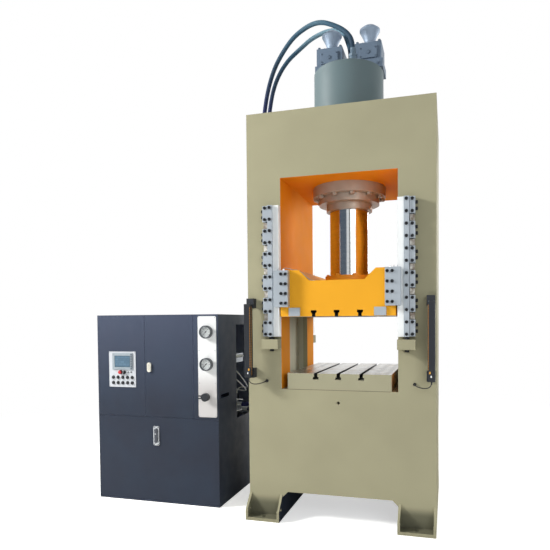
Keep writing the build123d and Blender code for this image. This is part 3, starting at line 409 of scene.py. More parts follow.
def frame_enamel(name):
    """The frame's enamel: khaki outside, the window's orange on every face inside the press window, painted shade
    in blue black between the uprights below the bed and darker in the feet's pockets, and a thin veil of floor dirt."""
    colours = settings("press_finishes")
    material, shader, place, tone = reopened(enamel(name, colours.frame_colour, roughness=0.6, specular=0.04))
    tree = place.id_data
    height = add_node(tree, "SeparateXYZ", {"Vector": place}, "Z")
    dirt_top, pocket_shade_top, pocket_shade_full, leg_gap_shade_top = 140 * MM, 190 * MM, 110 * MM, 218.5 * MM
    low_down = add_node(tree, "MapRange", {"Value": height, "From Min": dirt_top, "From Max": 0.0, "To Max": 0.55},
                        interpolation_type="SMOOTHSTEP")
    dirt = add_node(tree, "Math", {0: low_down, 1: speckled(place, 0.03, 0.2)}, operation="MULTIPLY")
    foot, gusset, reach = 280 * MM, 15 * MM, 100 * MM
    front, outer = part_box("front_plate")[0].y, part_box("front_plate")[1].x
    pockets = [inside(place, {"X": sorted((side * (outer - gusset), side * (outer - foot + gusset))),
                              "Y": (front - reach + 2 * MM, front + 0.5 * MM), "Z": (12 * MM, pocket_shade_top)})
               for side in (-1, 1)]
    pocket = add_node(tree, "Math", {0: pockets[0], 1: pockets[1]}, operation="MAXIMUM")
    # Olive grey darkening low in the pockets of the feet: painted shade, as the gussets cast it
    deep = add_node(tree, "MapRange", {"Value": height, "From Min": pocket_shade_top, "From Max": pocket_shade_full, "To Max": 0.75},
                    interpolation_type="SMOOTHSTEP")
    oil = add_node(tree, "Math", {0: pocket, 1: deep}, operation="MULTIPLY")
    low, high = window_box()
    slack = 0.5 * MM
    # Blue black on the faces between the uprights below the bed: painted shade in that gap
    leg_gap_shade = inside(place, {"X": (-high.x - MM, high.x + MM), "Z": (-0.01, leg_gap_shade_top)})
    window = inside(place, {"X": (low.x - slack, high.x + slack), "Y": (low.y - slack, high.y + slack),
                            "Z": (low.z + 2 * slack, high.z + slack)})
    orange = mottled(place, 0.4, colours.window_colour, 0.95, 1.05, 2.0)
    for mask, colour in ((dirt, "#7d7a66"), (oil, "#57584a"), (sideways(leg_gap_shade), "#272d38"),
                         (sideways(window), orange)):
        tone = add_node(tree, "Mix", {0: mask, 6: tone, 7: colour}, data_type="RGBA")
    drive(shader, Base_Color=tone)
    return material


def slide_enamel(name):
    """The slide's enamel, with its underside left as machined steel and its T-slots near black with painted shade."""
    material, shader, place, tone = reopened(enamel(name, settings("press_finishes").slide_colour, specular=0.12))
    bottom, slot_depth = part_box("slide")[0].z, 48 * MM
    low = inside(place, {"X": (-SLOTS_REACH, SLOTS_REACH), "Z": (bottom - MM, bottom + slot_depth + MM)})
    # Near black on the walls of the T-slots: painted shade in the slots
    slots = sideways(low)
    under = inside(place, {"Z": (bottom - MM, bottom + 0.5 * MM)})
    for mask, colour in ((under, "#a8a69c"), (slots, "#1f1c1a")):
        tone = add_node(place.id_data, "Mix", {0: mask, 6: tone, 7: colour}, data_type="RGBA")
    drive(shader, Base_Color=tone, Metallic=slots)
    return material


def bolster_finish(name):
    """Bolster plate: enamelled sides, and a face milled bright, with the cutter's overlapping arcs and oil left
    in cloudy patches."""
    material, shader, place = blank_material(name, Specular_IOR_Level=0.4)
    tree = place.id_data
    top, slot_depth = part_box("bolster")[1].z, 47.5 * MM
    on_top = inside(place, {"Z": (top - 0.4 * MM, top + 10 * MM)})
    # Arcs of a face mill lie about 1 mm apart; drawn 22 mm apart so that they show
    arcs = add_node(tree, "TexWave", {"Vector": place, "Scale": WAVE_SCALE / 0.022, "Distortion": 1.5, "Detail": 2.0},
                    "Fac", wave_type="RINGS", rings_direction="Y")
    milled = add_node(tree, "Mix", {0: arcs, 6: "#b9bbba", 7: "#e6e7e5"}, data_type="RGBA")
    oiled = add_node(tree, "Mix", {0: speckled(place, 0.12, high=0.7), 6: milled, 7: "#c4bbae"}, data_type="RGBA")
    tone = mottled(place, 0.4, settings("press_finishes").frame_colour, 0.96, 1.03, 2.0)
    # Dark grey on the walls of the T-slots: painted shade in the slots
    bare = sideways(inside(place, {"Z": (top - slot_depth, top - 0.5 * MM), "X": (-SLOTS_REACH, SLOTS_REACH)}))
    metal = add_node(tree, "Math", {0: on_top, 1: bare}, operation="MAXIMUM")
    gloss = add_node(tree, "Mix", {0: metal, 2: 0.55, 3: speckled(place, 0.05, 0.24, 0.42)})
    relief = add_node(tree, "Math", {0: arcs, 1: on_top}, operation="MULTIPLY")
    tool = add_node(tree, "Bump", {"Height": relief, "Distance": 0.2 * MM, "Strength": 0.3})
    for mask, colour in ((bare, "#3d3f40"), (on_top, oiled)):
        tone = add_node(tree, "Mix", {0: mask, 6: tone, 7: colour}, data_type="RGBA")
    drive(shader, Base_Color=tone, Metallic=metal, Roughness=gloss, Normal=tool)
    return material


def ground_metal(name, colour, roughness=0.28, along_axis="Z", metallic=1.0, grain=2.2 * MM, contrast=0.12):
    """Ground or brushed metal: fine scratches all one way, which draw reflections out across them."""
    material, shader, place = blank_material(name, Metallic=metallic)
    tree = place.id_data
    stretch = [60 if axis == along_axis else 1 for axis in "XYZ"]
    lines = speckled(place, grain, detail=2.0, stretch=stretch)
    worn = mottled(place, 0.16, colour, 1 - contrast, 1 + contrast / 2)
    tone = add_node(tree, "Mix", {0: lines, 6: shade(colour, 1 - contrast), 7: worn}, data_type="RGBA")
    scratches = add_node(tree, "Bump", {"Height": lines, "Distance": 0.08 * MM, "Strength": 0.5})
    drive(shader, Base_Color=tone, Normal=scratches,
          Roughness=speckled(place, grain * 2, roughness - 0.06, roughness + 0.08, 2.0, stretch))
    return material


def brushed_plate(name):
    """Brushed stainless sheet, bright at the top and turning a warm grey towards the bottom."""
    material, shader, place, tone = reopened(
        ground_metal(name, linear("#f4f6f6"), roughness=0.45, metallic=0.15, contrast=0.05))
    tree = place.id_data
    bright_from, grey_to = 1.2, 1.0
    height = add_node(tree, "SeparateXYZ", {"Vector": place}, "Z")
    lower_grey = add_node(tree, "MapRange", {"Value": height, "From Min": bright_from, "From Max": grey_to,
                                          "To Max": 0.85}, interpolation_type="SMOOTHSTEP")
    drive(shader, Base_Color=add_node(tree, "Mix", {0: lower_grey, 6: tone, 7: "#c6c2c1"}, data_type="RGBA"))
    return material


def packing_steel(name):
    """Packing strips, sawn and ground by hand: bright where they were ground, brown where the oil has dried."""
    material, shader, place = blank_material(name, Metallic=0.3, Roughness=0.45)
    ground = speckled(place, 0.035, -0.2, detail=2.0)
    drive(shader, Base_Color=add_node(place.id_data, "Mix", {0: ground, 6: "#8a7d70", 7: "#e2e0d8"},
                                      data_type="RGBA"))
    return material


def hard_chrome(name):
    """Hard chrome on the piston rod: a near mirror, ground round and round, in a neutral grey."""
    material, shader, place = blank_material(name, Metallic=1.0)
    tree = place.id_data
    round_it = (80, 80, 1)
    rings = speckled(place, 3 * MM, detail=2.0, stretch=round_it)
    grinding = add_node(tree, "Bump", {"Height": rings, "Distance": 0.01 * MM, "Strength": 0.04})
    tone = add_node(tree, "Mix", {0: rings, 6: "#c2c6c8", 7: "#d4d7d8"}, data_type="RGBA")
    drive(shader, Base_Color=tone, Normal=grinding,
          Roughness=speckled(place, 6 * MM, 0.11, 0.15, 2.0, round_it))
    return material


def cast_finish(name, colour, metallic=0.5, roughness=0.5, grain=6 * MM):
    """As-cast or forged metal under a thin coat: a soft grain and uneven gloss."""
    material, shader, place = blank_material(name, Metallic=metallic)
    drive(shader, Base_Color=mottled(place, 0.07, colour, 0.88, 1.08, 4.0),
          Normal=grained(place, grain, 0.6 * MM, 0.4, 3.0),
          Roughness=speckled(place, 0.03, roughness - 0.07, roughness + 0.1))
    return material


def part_painted(material, zones):
    """Covers parts of a metal with paint: in each (limits, colour) zone the colour takes over and the metal's
    shine goes."""
    material, shader, place, tone = reopened(material)
    tree = place.id_data
    shine = shader.inputs["Metallic"].default_value
    for limits, colour in zones:
        zone = inside(place, limits)
        tone = add_node(tree, "Mix", {0: zone, 6: tone, 7: colour}, data_type="RGBA")
        shine = add_node(tree, "Mix", {0: zone, 2: shine, 3: 0.1})
    drive(shader, Base_Color=tone, Metallic=shine)
    return material


def bolt_steel(name, zones):
    """Black oxide cap screws; those in the zones were sprayed over with the piece that they hold."""
    return part_painted(cast_finish(name, linear("#24262a"), metallic=0.6, roughness=0.45, grain=3 * MM), zones)


def barrel_enamel(name, zones):
    """The cylinder's grey green enamel over the crown, with its flange in the window left in bare steel grey."""
    return part_painted(enamel(name, settings("press_finishes").cylinder_colour), zones)


def fitting_steel(name):
    """Zinc plated hose and pipe fittings, bright in the cabinet and blue grey over the crown; the bushes that take the
    curtain cables are black nylon."""
    metal = ground_metal(name, linear("#ced3d7"), roughness=0.38, grain=1 * MM, metallic=0.5)
    crown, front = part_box("front_plate")[1].z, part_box("front_plate")[0].y
    return part_painted(metal, [({"Z": (crown, crown + 2)}, "#5f7383"),
                                ({"Y": (front - 0.1, front + 2 * MM)}, "#1c1d20")])


def moulded(name, colour, roughness=0.45):
    """Moulded plastic or rubber: one colour through, a fine eroded grain and slightly polished high spots."""
    material, shader, place = blank_material(name)
    # A spark-eroded grain is about 0.1 mm; drawn at 1.2 mm
    drive(shader, Base_Color=mottled(place, 0.02, colour, 0.93, 1.07),
          Normal=grained(place, 1.2 * MM, 0.1 * MM, 0.5),
          Roughness=speckled(place, 8 * MM, roughness - 0.06, roughness + 0.08))
    return material


def hose_cover(name):
    """Nitrile hose cover, cured under a cloth wrap: navy black low down, turned pale grey teal towards the top by
    painted light over the crown, with the wrap's fine lay on it."""
    material, shader, place = blank_material(name, Specular_IOR_Level=0.2)
    tree = place.id_data
    height = add_node(tree, "SeparateXYZ", {"Vector": place}, "Z")
    tone = "#1f2450"
    # Paler towards the top over the crown: painted light on the hose
    for low, high, colour in ((3.5, 3.8, "#263b4e"), (3.85, 4.05, "#35566a"), (4.05, 4.21, "#7f9fae")):
        hose_light = add_node(tree, "MapRange", {"Value": height, "From Min": low, "From Max": high})
        tone = add_node(tree, "Mix", {0: hose_light, 6: tone, 7: colour}, data_type="RGBA")
    # The wrap's threads lie 1.5 mm apart; drawn 5 mm apart
    lay = add_node(tree, "TexWave", {"Vector": place, "Scale": WAVE_SCALE / 0.005, "Distortion": 1.0, "Detail": 1.0},
                   "Fac", wave_type="BANDS", bands_direction="DIAGONAL")
    wrap = add_node(tree, "Bump", {"Height": lay, "Distance": 0.3 * MM, "Strength": 0.08})
    tone = add_node(tree, "Mix", {0: speckled(place, 0.05, high=0.1), 6: tone, 7: "#59606a"}, data_type="RGBA")
    drive(shader, Base_Color=tone,
          Roughness=speckled(place, 0.02, 0.6, 0.75), Normal=wrap)
    return material


def galvanised(name):
    """Hot-dip galvanised sheet: pale zinc crystals a centimetre or two across, each with its own gloss."""
    material, shader, place = blank_material(name, Metallic=0.9)
    tree = place.id_data
    crystals = add_node(tree, "TexVoronoi", {"Vector": place, "Scale": 1 / (14 * MM)}, "Color")
    gloss = add_node(tree, "MapRange", {"Value": crystals, "To Min": 0.3, "To Max": 0.5})
    tone = add_node(tree, "Mix", {0: crystals, 6: "#9aa1a6", 7: "#c2c8cb"}, data_type="RGBA")
    drive(shader, Base_Color=tone, Roughness=gloss)
    return material


def dial_enamel(name):
    """Dial card: matt white lacquer, a little uneven."""
    material, shader, place = blank_material(name, Specular_IOR_Level=0.3)
    tone = add_node(place.id_data, "Mix", {0: speckled(place, 0.05), 6: "#dfe2e2", 7: "#eef0ef"}, data_type="RGBA")
    drive(shader, Base_Color=tone, Roughness=speckled(place, 0.01, 0.5, 0.62))
    return material


def clear_glass(name):
    """Gauge glass: thin clear pane that shows the dial through it and a sharp glint on top."""
    material, shader, place = blank_material(name, Transmission_Weight=1.0, IOR=1.45, Alpha=0.35)
    drive(shader, Roughness=speckled(place, 0.03, 0.0, 0.04))
    shader.inputs["Base Color"].default_value = (*linear("#f7fafb"), 1)
    return material


def display_glass(name, low, high):
    """Touch display switched on: a teal field with a darker frame and rows of paler fields, no lettering."""
    material, shader, place = blank_material(name, Roughness=0.18, Emission_Strength=0.15)
    tree = place.id_data
    flat = add_node(tree, "Mapping", {"Vector": place, "Rotation": (radians(-90), 0, 0)})
    fields = add_node(tree, "TexBrick", {
        "Vector": flat, "Color1": "#4c677b", "Color2": "#577286", "Mortar": "#435d70", "Scale": 1.0,
        "Mortar Size": 1.2 * MM, "Brick Width": (high.x - low.x) / 4, "Row Height": (high.z - low.z) / 5})
    border = 6 * MM
    lit = inside(place, {"X": (low.x + border, high.x - border), "Z": (low.z + border, high.z - border)})
    tone = add_node(tree, "Mix", {0: lit, 6: "#39515f", 7: fields}, data_type="RGBA")
    drive(shader, Base_Color=tone, Emission_Color=tone)
    return material


def amber_lens(name):
    """Curtain lens: dyed clear acrylic over the sensors, which shows as a thin amber line."""
    material, shader, place = blank_material(name, Roughness=0.25, Coat_Weight=0.3)
    tree = place.id_data
    eyes = add_node(tree, "TexWave", {"Vector": place, "Scale": WAVE_SCALE / 0.02}, "Fac", wave_type="BANDS",
                    bands_direction="Z")
    drive(shader, Base_Color=add_node(tree, "Mix", {0: eyes, 6: "#7d521d", 7: "#a8712a"}, data_type="RGBA"))
    return material


def powder_coat(name):
    """Polyester powder coat on the cabinet's sheet: slate blue, a fine even texture, a shade paler towards the top as
    painted light, and a lighter grey blue inside as painted light in the shaded interior."""
    colour = settings("press_finishes").cabinet_colour
    material, shader, place = blank_material(name, Specular_IOR_Level=0.3)
    tree = place.id_data
    upper_light_from, upper_light_to, sheet = 0.85, 1.6, 1.5 * MM
    height = add_node(tree, "SeparateXYZ", {"Vector": place}, "Z")
    # Paler towards the top: painted light
    upper_light = add_node(tree, "MapRange", {"Value": height, "From Min": upper_light_from, "From Max": upper_light_to})
    low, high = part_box("cabinet_shell")
    # Lighter grey blue on the inside faces: painted light in the shaded interior
    within = inside(place, {axis: (least + sheet, most - sheet) for axis, least, most in zip("XYZ", low, high)})
    tone = shade(colour, 0.36)
    for mask, over in ((upper_light, shade(colour, 0.82)), (speckled(place, 0.3, high=0.18), "#30465c"),
                       (within, "#8e98b2")):
        tone = add_node(tree, "Mix", {0: mask, 6: tone, 7: over}, data_type="RGBA")
    # Powder cures to a texture of about 1 mm; drawn at 5 mm
    drive(shader, Base_Color=tone, Normal=grained(place, 5 * MM, 0.3 * MM, 0.35),
          Roughness=speckled(place, 0.09, 0.46, 0.58))
    return material


MATERIALS = {}


def made(name, maker, *values, **options):
    """A material by its name, made the first time that it is asked for; a hex colour is given to it as linear."""
    if name not in MATERIALS:
        values = [linear(value) if isinstance(value, str) else value for value in values]
        MATERIALS[name] = maker(name, *values, **options)
    return MATERIALS[name]


def black_oxide():
    return made("black_oxide_steel", cast_finish, "#24262a", metallic=0.6, roughness=0.45, grain=3 * MM)


def zinc():
    return made("zinc_plated_steel", ground_metal, "#c3c8cb", roughness=0.3, grain=1 * MM)


def black_plastic():
    return made("black_glass_filled_nylon", moulded, "#202226")


def motor_enamel():
    return made("motor_enamel", enamel, "#3e5f82")


def needle_lacquer():
    return made("needle_lacquer", moulded, "#17181a")


def dress(nodes, material):
    """Gives CAD nodes, named in one string, a material."""
    for node in nodes.split():
        slots = frame["nodes"][node].data.materials
        slots.clear()
        slots.append(material)


class PRESS_OT_finishes(bpy.types.Operator):
    """Gives every solid of the press and the cabinet its finish"""
    bl_idname = "press.finishes"
    bl_label = "Finishes"

    def execute(self, context):
        slide_colour = settings("press_finishes").slide_colour
        half_window = window_box()[1].x
        gland_grey = "#ab9f92"
        dress("front_plate rear_plate inner_walls outer_walls crown_beam bed_beam foot_brackets rail_ledges",
              made("frame_enamel", frame_enamel))
        dress("slide", made("slide_enamel", slide_enamel))
        flange_low, flange_high, plate_high = 2.4, 2.75, 3.0
        dress("cylinder_barrel", made("cylinder_enamel", barrel_enamel,
                                      [({"Z": (flange_low, flange_high)}, gland_grey)]))
        dress("bolster", made("milled_bolster_steel", bolster_finish))
        dress("gland_rings", made("turned_gland_steel", cast_finish, gland_grey, metallic=0.3, roughness=0.42))
        dress("rod_flange", made("rod_flange_enamel", enamel, slide_colour))
        dress("prefill_blocks", made("valve_enamel", enamel, "#68798c"))
        dress("suction_bells", made("cast_aluminium_bell", cast_finish, "#93a4b8", metallic=0.3))
        dress("frame_bolts", made("frame_screw_steel", bolt_steel,
                                  [({"X": (-half_window, half_window), "Z": (flange_low, plate_high)}, gland_grey)]))
        slide_top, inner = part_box("slide")[1].z, (-0.3, 0.3)
        flange_zone = {"X": inner, "Y": inner, "Z": (slide_top - 0.2, slide_top + 1)}
        dress("slide_bolts", made("slide_screw_steel", bolt_steel, [(flange_zone, slide_colour)]))
        dress("curtain_brackets", made("black_coated_sheet", enamel, "#2a2d33"))
        dress("line_fittings", made("zinc_plated_fittings", fitting_steel))
        dress("hinge_pins", zinc())
        # Near white and barely metallic: pale ground steel, with a painted highlight that keeps the rails bright
        # whatever they reflect
        dress("guide_rails", made("ground_rail_steel", ground_metal, "#f8fbfb", roughness=0.45, metallic=0.12,
                                  contrast=0.06))
        dress("rail_keepers guide_plates", made("machined_keeper_steel", ground_metal, "#b7c0c8", roughness=0.42,
                                                metallic=0.45, contrast=0.08))
        dress("light_curtains", made("black_anodised_aluminium", ground_metal, "#2b2e34", roughness=0.45,
                                     metallic=0.4))
        dress("piston_rod", made("hard_chrome", hard_chrome))
        dress("slide_liners", made("guide_bronze", ground_metal, "#b98d4f", roughness=0.35))
        dress("cabinet_shell control_door main_door lower_panel", made("cabinet_powder_coat", powder_coat))
        dress("oil_tank", made("machine_grey_enamel", enamel, "#8d949a"))
        dress("pump_motor", motor_enamel())
        dress("valve_manifold", made("phosphated_block_steel", ground_metal, "#a8adb2", roughness=0.38,
                                     along_axis="Y"))
        dress("electrical_panel", made("galvanised_sheet", galvanised))
        dress("gauge_plate", made("brushed_stainless_plate", brushed_plate))
        dress("gauge_cases", made("gauge_case_lacquer", enamel, "#54585e", roughness=0.4))
        dress("needle_upper needle_lower", needle_lacquer())
        dress("pressure_knob", made("phenolic_knob", moulded, "#24272d", roughness=0.36))
        dress("control_plate", made("control_plate_lacquer", enamel, "#c6cad0"))
        dress("touch_screen", made("screen_housing_plastic", moulded, "#98a3ab"))
        dress("upper_latch", made("latch_cream_enamel", enamel, "#e2dfd2", roughness=0.4))
        dress("lower_latch", made("latch_lever_lacquer", moulded, "#454952"))
        dress("latch_plate", made("latch_chrome", ground_metal, "#cdd1d6", roughness=0.25, grain=1 * MM,
                                  metallic=0.7))
        dress("estop_button", made("signal_red_plastic", moulded, "#c23034", roughness=0.4))
        dress("mode_selector " + " ".join(f"button_{number}" for number in range(1, 11)),
              made("button_black_plastic", moulded, "#24262a", roughness=0.42))
        return {"FINISHED"}


# Hoses and cables: each route is the line chosen for the CAD tube, in metres
PRESSURE_HOSE_ROUTE = [
    (0.076, -0.220, 3.748), (0.076, -0.220, 3.842), (0.037, -0.209, 3.927), (-0.060, -0.185, 4.014),
    (-0.238, -0.145, 4.108), (-0.438, -0.085, 4.061), (-0.568, -0.020, 3.978), (-0.691, 0.042, 3.846),
    (-0.781, 0.098, 3.643), (-0.830, 0.132, 3.369), (-0.832, 0.150, 2.950), (-0.826, 0.158, 2.530),
    (-0.838, 0.152, 2.090), (-0.832, 0.142, 1.650), (-0.838, 0.130, 1.260), (-0.836, 0.122, 0.964),
    (-0.896, 0.120, 0.860), (-1.000, 0.120, 0.800), (-1.113, 0.120, 0.800)]
RETURN_HOSE_ROUTE = [
    (0.012, 0.040, 3.748), (0.012, 0.040, 3.906), (-0.018, 0.072, 4.002), (-0.068, 0.138, 4.139),
    (-0.202, 0.192, 4.206), (-0.368, 0.208, 4.168), (-0.477, 0.216, 4.097), (-0.632, 0.222, 3.986),
    (-0.743, 0.230, 3.812), (-0.798, 0.241, 3.598), (-0.827, 0.252, 3.319), (-0.834, 0.262, 2.940),
    (-0.840, 0.270, 2.520), (-0.832, 0.274, 2.090), (-0.840, 0.268, 1.650), (-0.834, 0.262, 1.240),
    (-0.838, 0.262, 0.896), (-0.898, 0.262, 0.794), (-1.002, 0.262, 0.733), (-1.113, 0.262, 0.733)]
CABLE_ROUTE = [
    (0.706, -0.602, 1.143), (0.706, -0.602, 1.114), (0.686, -0.601, 1.094), (0.654, -0.598, 1.089),
    (0.620, -0.590, 1.093), (0.592, -0.572, 1.103), (0.582, -0.547, 1.108), (0.582, -0.525, 1.108)]
PRESSURE_HOSE_LENGTH = 4.343
RETURN_HOSE_LENGTH = 4.531


def cord_curve(name, route, diameter, material):
    """A round cord in place of the CAD one, on one smooth NURBS spline whose control points are the route."""
    curve = bpy.data.curves.new(name + "_line", "CURVE")
    curve.dimensions = "3D"
    curve.bevel_depth = diameter / 2
    curve.bevel_resolution = 6
    curve.resolution_u = 14
    curve.use_fill_caps = True
    spline = curve.splines.new("NURBS")
    spline.points.add(len(route) - 1)
    spline.points.foreach_set("co", np.append(route, np.ones((len(route), 1)), 1).ravel())
    spline.order_u = 3
    spline.use_endpoint_u = True
    curve.materials.append(material)
    obj = bpy.data.objects.new(name + "_line", curve)
    bpy.context.scene.collection.objects.link(obj)
    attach(obj, "press")
    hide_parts(name)
    return obj


def hose_end(centre, facing, hose, length):
    """Swaged hose end: a hexagon nut at the fitting, then a sleeve pressed in ridges on to the hose."""
    nut, nut_length, chamfer = 1.72 * hose, 22 * MM, 3 * MM
    flats = [(nut * 0.93, -nut_length), (nut, chamfer - nut_length), (nut, -chamfer), (nut * 0.93, 0)]
    sleeve = [(1.28 * hose, 0), (1.28 * hose, 6 * MM)]
    ridges = 4
    pitch = (length - 14 * MM) / ridges
    for ridge in range(ridges):
        low = 9 * MM + ridge * pitch
        high = low + pitch * 0.7
        sleeve += [(1.17 * hose, low), (1.24 * hose, low + 2 * MM), (1.24 * hose, high - 2 * MM), (1.17 * hose, high)]
    sleeve += [(1.2 * hose, length - 3 * MM), (1.1 * hose, length)]
    return [hexagonal(flats, centre, facing), turned(sleeve, centre, facing)]


class PRESS_OT_hoses(bpy.types.Operator):
    """Makes the two oil hoses with their swaged ends"""
    bl_idname = "press.hoses"
    bl_label = "Oil hoses"

    def execute(self, context):
        sizes = settings("line_sizes")
        for name, route, length in (("pressure_hose", PRESSURE_HOSE_ROUTE, PRESSURE_HOSE_LENGTH),
                                    ("return_hose", RETURN_HOSE_ROUTE, RETURN_HOSE_LENGTH)):
            hose = cord_curve(name, route, sizes.hose_diameter, made("hose_rubber", hose_cover))
            ends = [hose_end(place, facing, sizes.hose_diameter, sizes.ferrule_length)
                    for place, facing in ((route[0], "+z"), (route[-1], "+x"))]
            fittings = piece(name + "_ends", ends[0] + ends[1], "press", "zinc_plated_steel",
                             finish_of("line_fittings"))
        return {"FINISHED"}


class PRESS_OT_curtains(bpy.types.Operator):
    """Makes the light curtains' lenses, end caps and screws, and their cables with plug and bush"""
    bl_idname = "press.curtains"
    bl_label = "Light curtains"

    def execute(self, context):
        cable_diameter = settings("line_sizes").cable_diameter
        low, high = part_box("light_curtains")
        middle_y, middle_z = middle("light_curtains")[1:]
        bar_x = CABLE_ROUTE[0][0]
        half = high.x - bar_x
        groove_depth, groove_width, cap, proud = 4 * MM, 30 * MM, 12 * MM, 0.1 * MM
        width, depth, length = 2 * half, high.y - low.y, high.z - low.z - 2 * cap
        cap_levels = [(width, depth, 4 * MM, -9 * MM), (width + 1.6 * MM, depth + 2 * proud, 4.5 * MM, -8 * MM),
                      (width + 1.6 * MM, depth + 2 * proud, 4.5 * MM, 0.4 * MM),
                      (width - 2 * MM, depth - 2 * MM, 3 * MM, 1.6 * MM)]
        lenses, beds, lips, caps, screws, amber_lamps, white_lamps = [], [], [], [], [], [], []
        for side, name in ((-1, "left"), (1, "right")):
            centre_x = side * bar_x
            inner_x = centre_x - side * half
            for shells, wide, short, deep in ((beds, groove_width - 1 * MM, 2 * MM, groove_depth - 1.4 * MM),
                                              (lenses, 11 * MM, 8 * MM, groove_depth - 0.6 * MM)):
                shells.append(pad(wide, length - short, deep, (inner_x + side * groove_depth, middle_y, middle_z),
                                  "-x" if side > 0 else "+x", 3 * MM, 0.5 * MM))
            caps += [slab(cap_levels, (centre_x, middle_y, z), way) for z, way in ((high.z, "+z"), (low.z, "-z"))]
            screws += [socket_screw((centre_x + dx * 18 * MM, middle_y + dy * 19 * MM, high.z + 1.5 * MM), "+z",
                                    5 * MM, 2 * MM) for dx, dy in CORNERS]
            for shells, wide, tall, shift, z, corner in (
                    (lips, 5, length - 80 * MM, 4, middle_z + 30 * MM, 2),
                    (amber_lamps, 12, 18 * MM, 15, low.z + 64 * MM, 4),
                    (white_lamps, 9, 16 * MM, 24, low.z + 36 * MM, 3)):
                shells.append(pad(wide * MM, tall, proud, (inner_x + side * shift * MM, low.y, z), "-y",
                                  corner * MM, proud / 2))
            route = [(side * x, y, z) for x, y, z in CABLE_ROUTE]
            cable = cord_curve(f"curtain_cable_{name}", route, cable_diameter,
                               made("cable_sheath", moulded, "#1f2124", roughness=0.5))
            plug = turned(in_mm((15, -2), (15, 9), (12, 11), (11, 20), (8.4, 24), (7.6, 26)), route[0], "-z", 32)
            bush = turned(in_mm((9.2, 0), (9.2, 5), (7.6, 9)), route[-1], "-y", 24)
            fittings = piece(f"curtain_plug_{name}", [plug, bush], "press", "cable_sheath", black_plastic())
            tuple(route[0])
        for name, shells, slot, material in (
                ("lenses", lenses + lips, "curtain_anodised", made("amber_acrylic_lens", amber_lens)),
                ("end_caps", caps + beds, "curtain_anodised", black_plastic()),
                ("screws", screws, "zinc_plated_steel", zinc()),
                ("amber_lamps", amber_lamps, "curtain_anodised",
                 made("amber_lamp_lens", moulded, "#d99c35", roughness=0.3)),
                ("white_lamps", white_lamps, "curtain_anodised",
                 made("white_lamp_lens", moulded, "#e4e6e6", roughness=0.3))):
            piece("curtain_" + name, shells, "press", slot, material)
        return {"FINISHED"}


def dial_marks(centre, radius, sweep, zero):
    """Scale of a gauge: 31 thin bars round the dial from the zero mark, every fifth one longer and wider."""
    count, bars = 31, []
    for number in range(count):
        angle = zero - sweep * number / (count - 1)
        major = number % 5 == 0
        long, wide = (8 * MM, 1.6 * MM) if major else (4.5 * MM, 0.8 * MM)
        out, across = np.array([cos(angle), sin(angle)]), np.array([-sin(angle), cos(angle)])
        outline = np.array([reach * out + side * wide / 2 * across
                            for reach, side in ((radius, -1), (radius, 1), (radius - long, 1), (radius - long, -1))])
        bars.append(stack([(outline, 0.05 * MM), (outline, 0.35 * MM)], centre, "-y"))
    return bars


def text_shell(words, centre, size):
    """Lettering that faces the front, filled from a font and made a mesh 0.3 mm thick, just before its place."""
    curve = bpy.data.curves.new("dial_text", "FONT")
    curve.body = words
    curve.size = size
    curve.align_x = "CENTER"
    curve.align_y = "CENTER"
    curve.extrude = 0.15 * MM
    holder = bpy.data.objects.new("dial_text", curve)
    mesh = bpy.data.meshes.new_from_object(holder)
    points = np.zeros(len(mesh.vertices) * 3)
    mesh.vertices.foreach_get("co", points)
    points = points.reshape(-1, 3)
    faces = [list(polygon.vertices) for polygon in mesh.polygons]
    bpy.data.objects.remove(holder)
    bpy.data.curves.remove(curve)
    bpy.data.meshes.remove(mesh)
    u, v, w = (np.array(axis, float) for axis in FACING["-y"])
    return points[:, :1] * u + points[:, 1:2] * v + (points[:, 2:] + 0.2 * MM) * w + np.array(centre), faces


class PRESS_OT_gauges(bpy.types.Operator):
    """Makes the gauge dials with marks and numbers, the rims and glasses, and the plate's screws"""
    bl_idname = "press.gauges"
    bl_label = "Gauges"

    def execute(self, context):
        sizes = settings("gauge_sizes")
        case_low, case_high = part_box("gauge_cases")
        front, diameter = case_low.y, case_high.x - case_low.x
        recess, card, zero, numbers = 12 * MM, 0.4 * MM, radians(225), 7
        dial_y, inner = front + recess, diameter - 14 * MM
        number_reach, rim_in = inner / 2 - 19 * MM, diameter - 2 * sizes.rim_width
        cards, marks, rims, glasses = [], [], [], []
        for joint in ("upper_needle_turn", "lower_needle_turn"):
            x, _, z = pivot(joint)
            cards.append(turned([(8 * MM, card), (inner - 1 * MM, card), (inner - 1 * MM, 0), (8 * MM, 0)],
                                (x, dial_y, z), "-y", 64, hollow=True))
            marks += dial_marks((x, dial_y - card, z), inner / 2 - 4 * MM, sizes.sweep, zero)
            for number in range(numbers):
                angle = zero - sizes.sweep * number / (numbers - 1)
                place = (x + number_reach * cos(angle), dial_y - card, z + number_reach * sin(angle))
                marks.append(text_shell(str(number * 10), place, sizes.number_size))
            rims.append(turned([(diameter, 0.0), (diameter, 2 * MM), (diameter - 3 * MM, 5 * MM),
                                (rim_in + 5 * MM, 6 * MM), (rim_in, 3 * MM), (rim_in, 0.0)], (x, front, z), "-y",
                               72, hollow=True))
            glasses.append(turned([(inner - 0.6 * MM, -3.2 * MM), (inner - 0.6 * MM, -1.6 * MM)], (x, front, z),
                                  "-y", 64))
        piece("gauge_dials", cards, "press", "gauge_case", made("dial_lacquer", dial_enamel))
        piece("gauge_marks", marks, "press", "needle_black", needle_lacquer(), smooth=False)
        piece("gauge_rims", rims, "press", "gauge_case",
              made("gauge_rim_steel", ground_metal, "#6d7278", roughness=0.3, grain=1 * MM))
        piece("gauge_glasses", glasses, "press", "gauge_case", made("gauge_glass", clear_glass))
        piece("gauge_plate_screws", corner_screws("gauge_plate", 12 * MM, 7 * MM, 3 * MM, rows=4), "press",
              "zinc_plated_steel", zinc())
        knob = pivot("pressure_knob_turn")
        collar = turned(in_mm((46, 0), (46, 3), (34, 5), (34, 14), (28, 16)),
                        (knob.x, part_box("gauge_plate")[0].y, knob.z))
        piece("knob_gland", [collar], "press", "zinc_plated_steel", zinc())
        return {"FINISHED"}


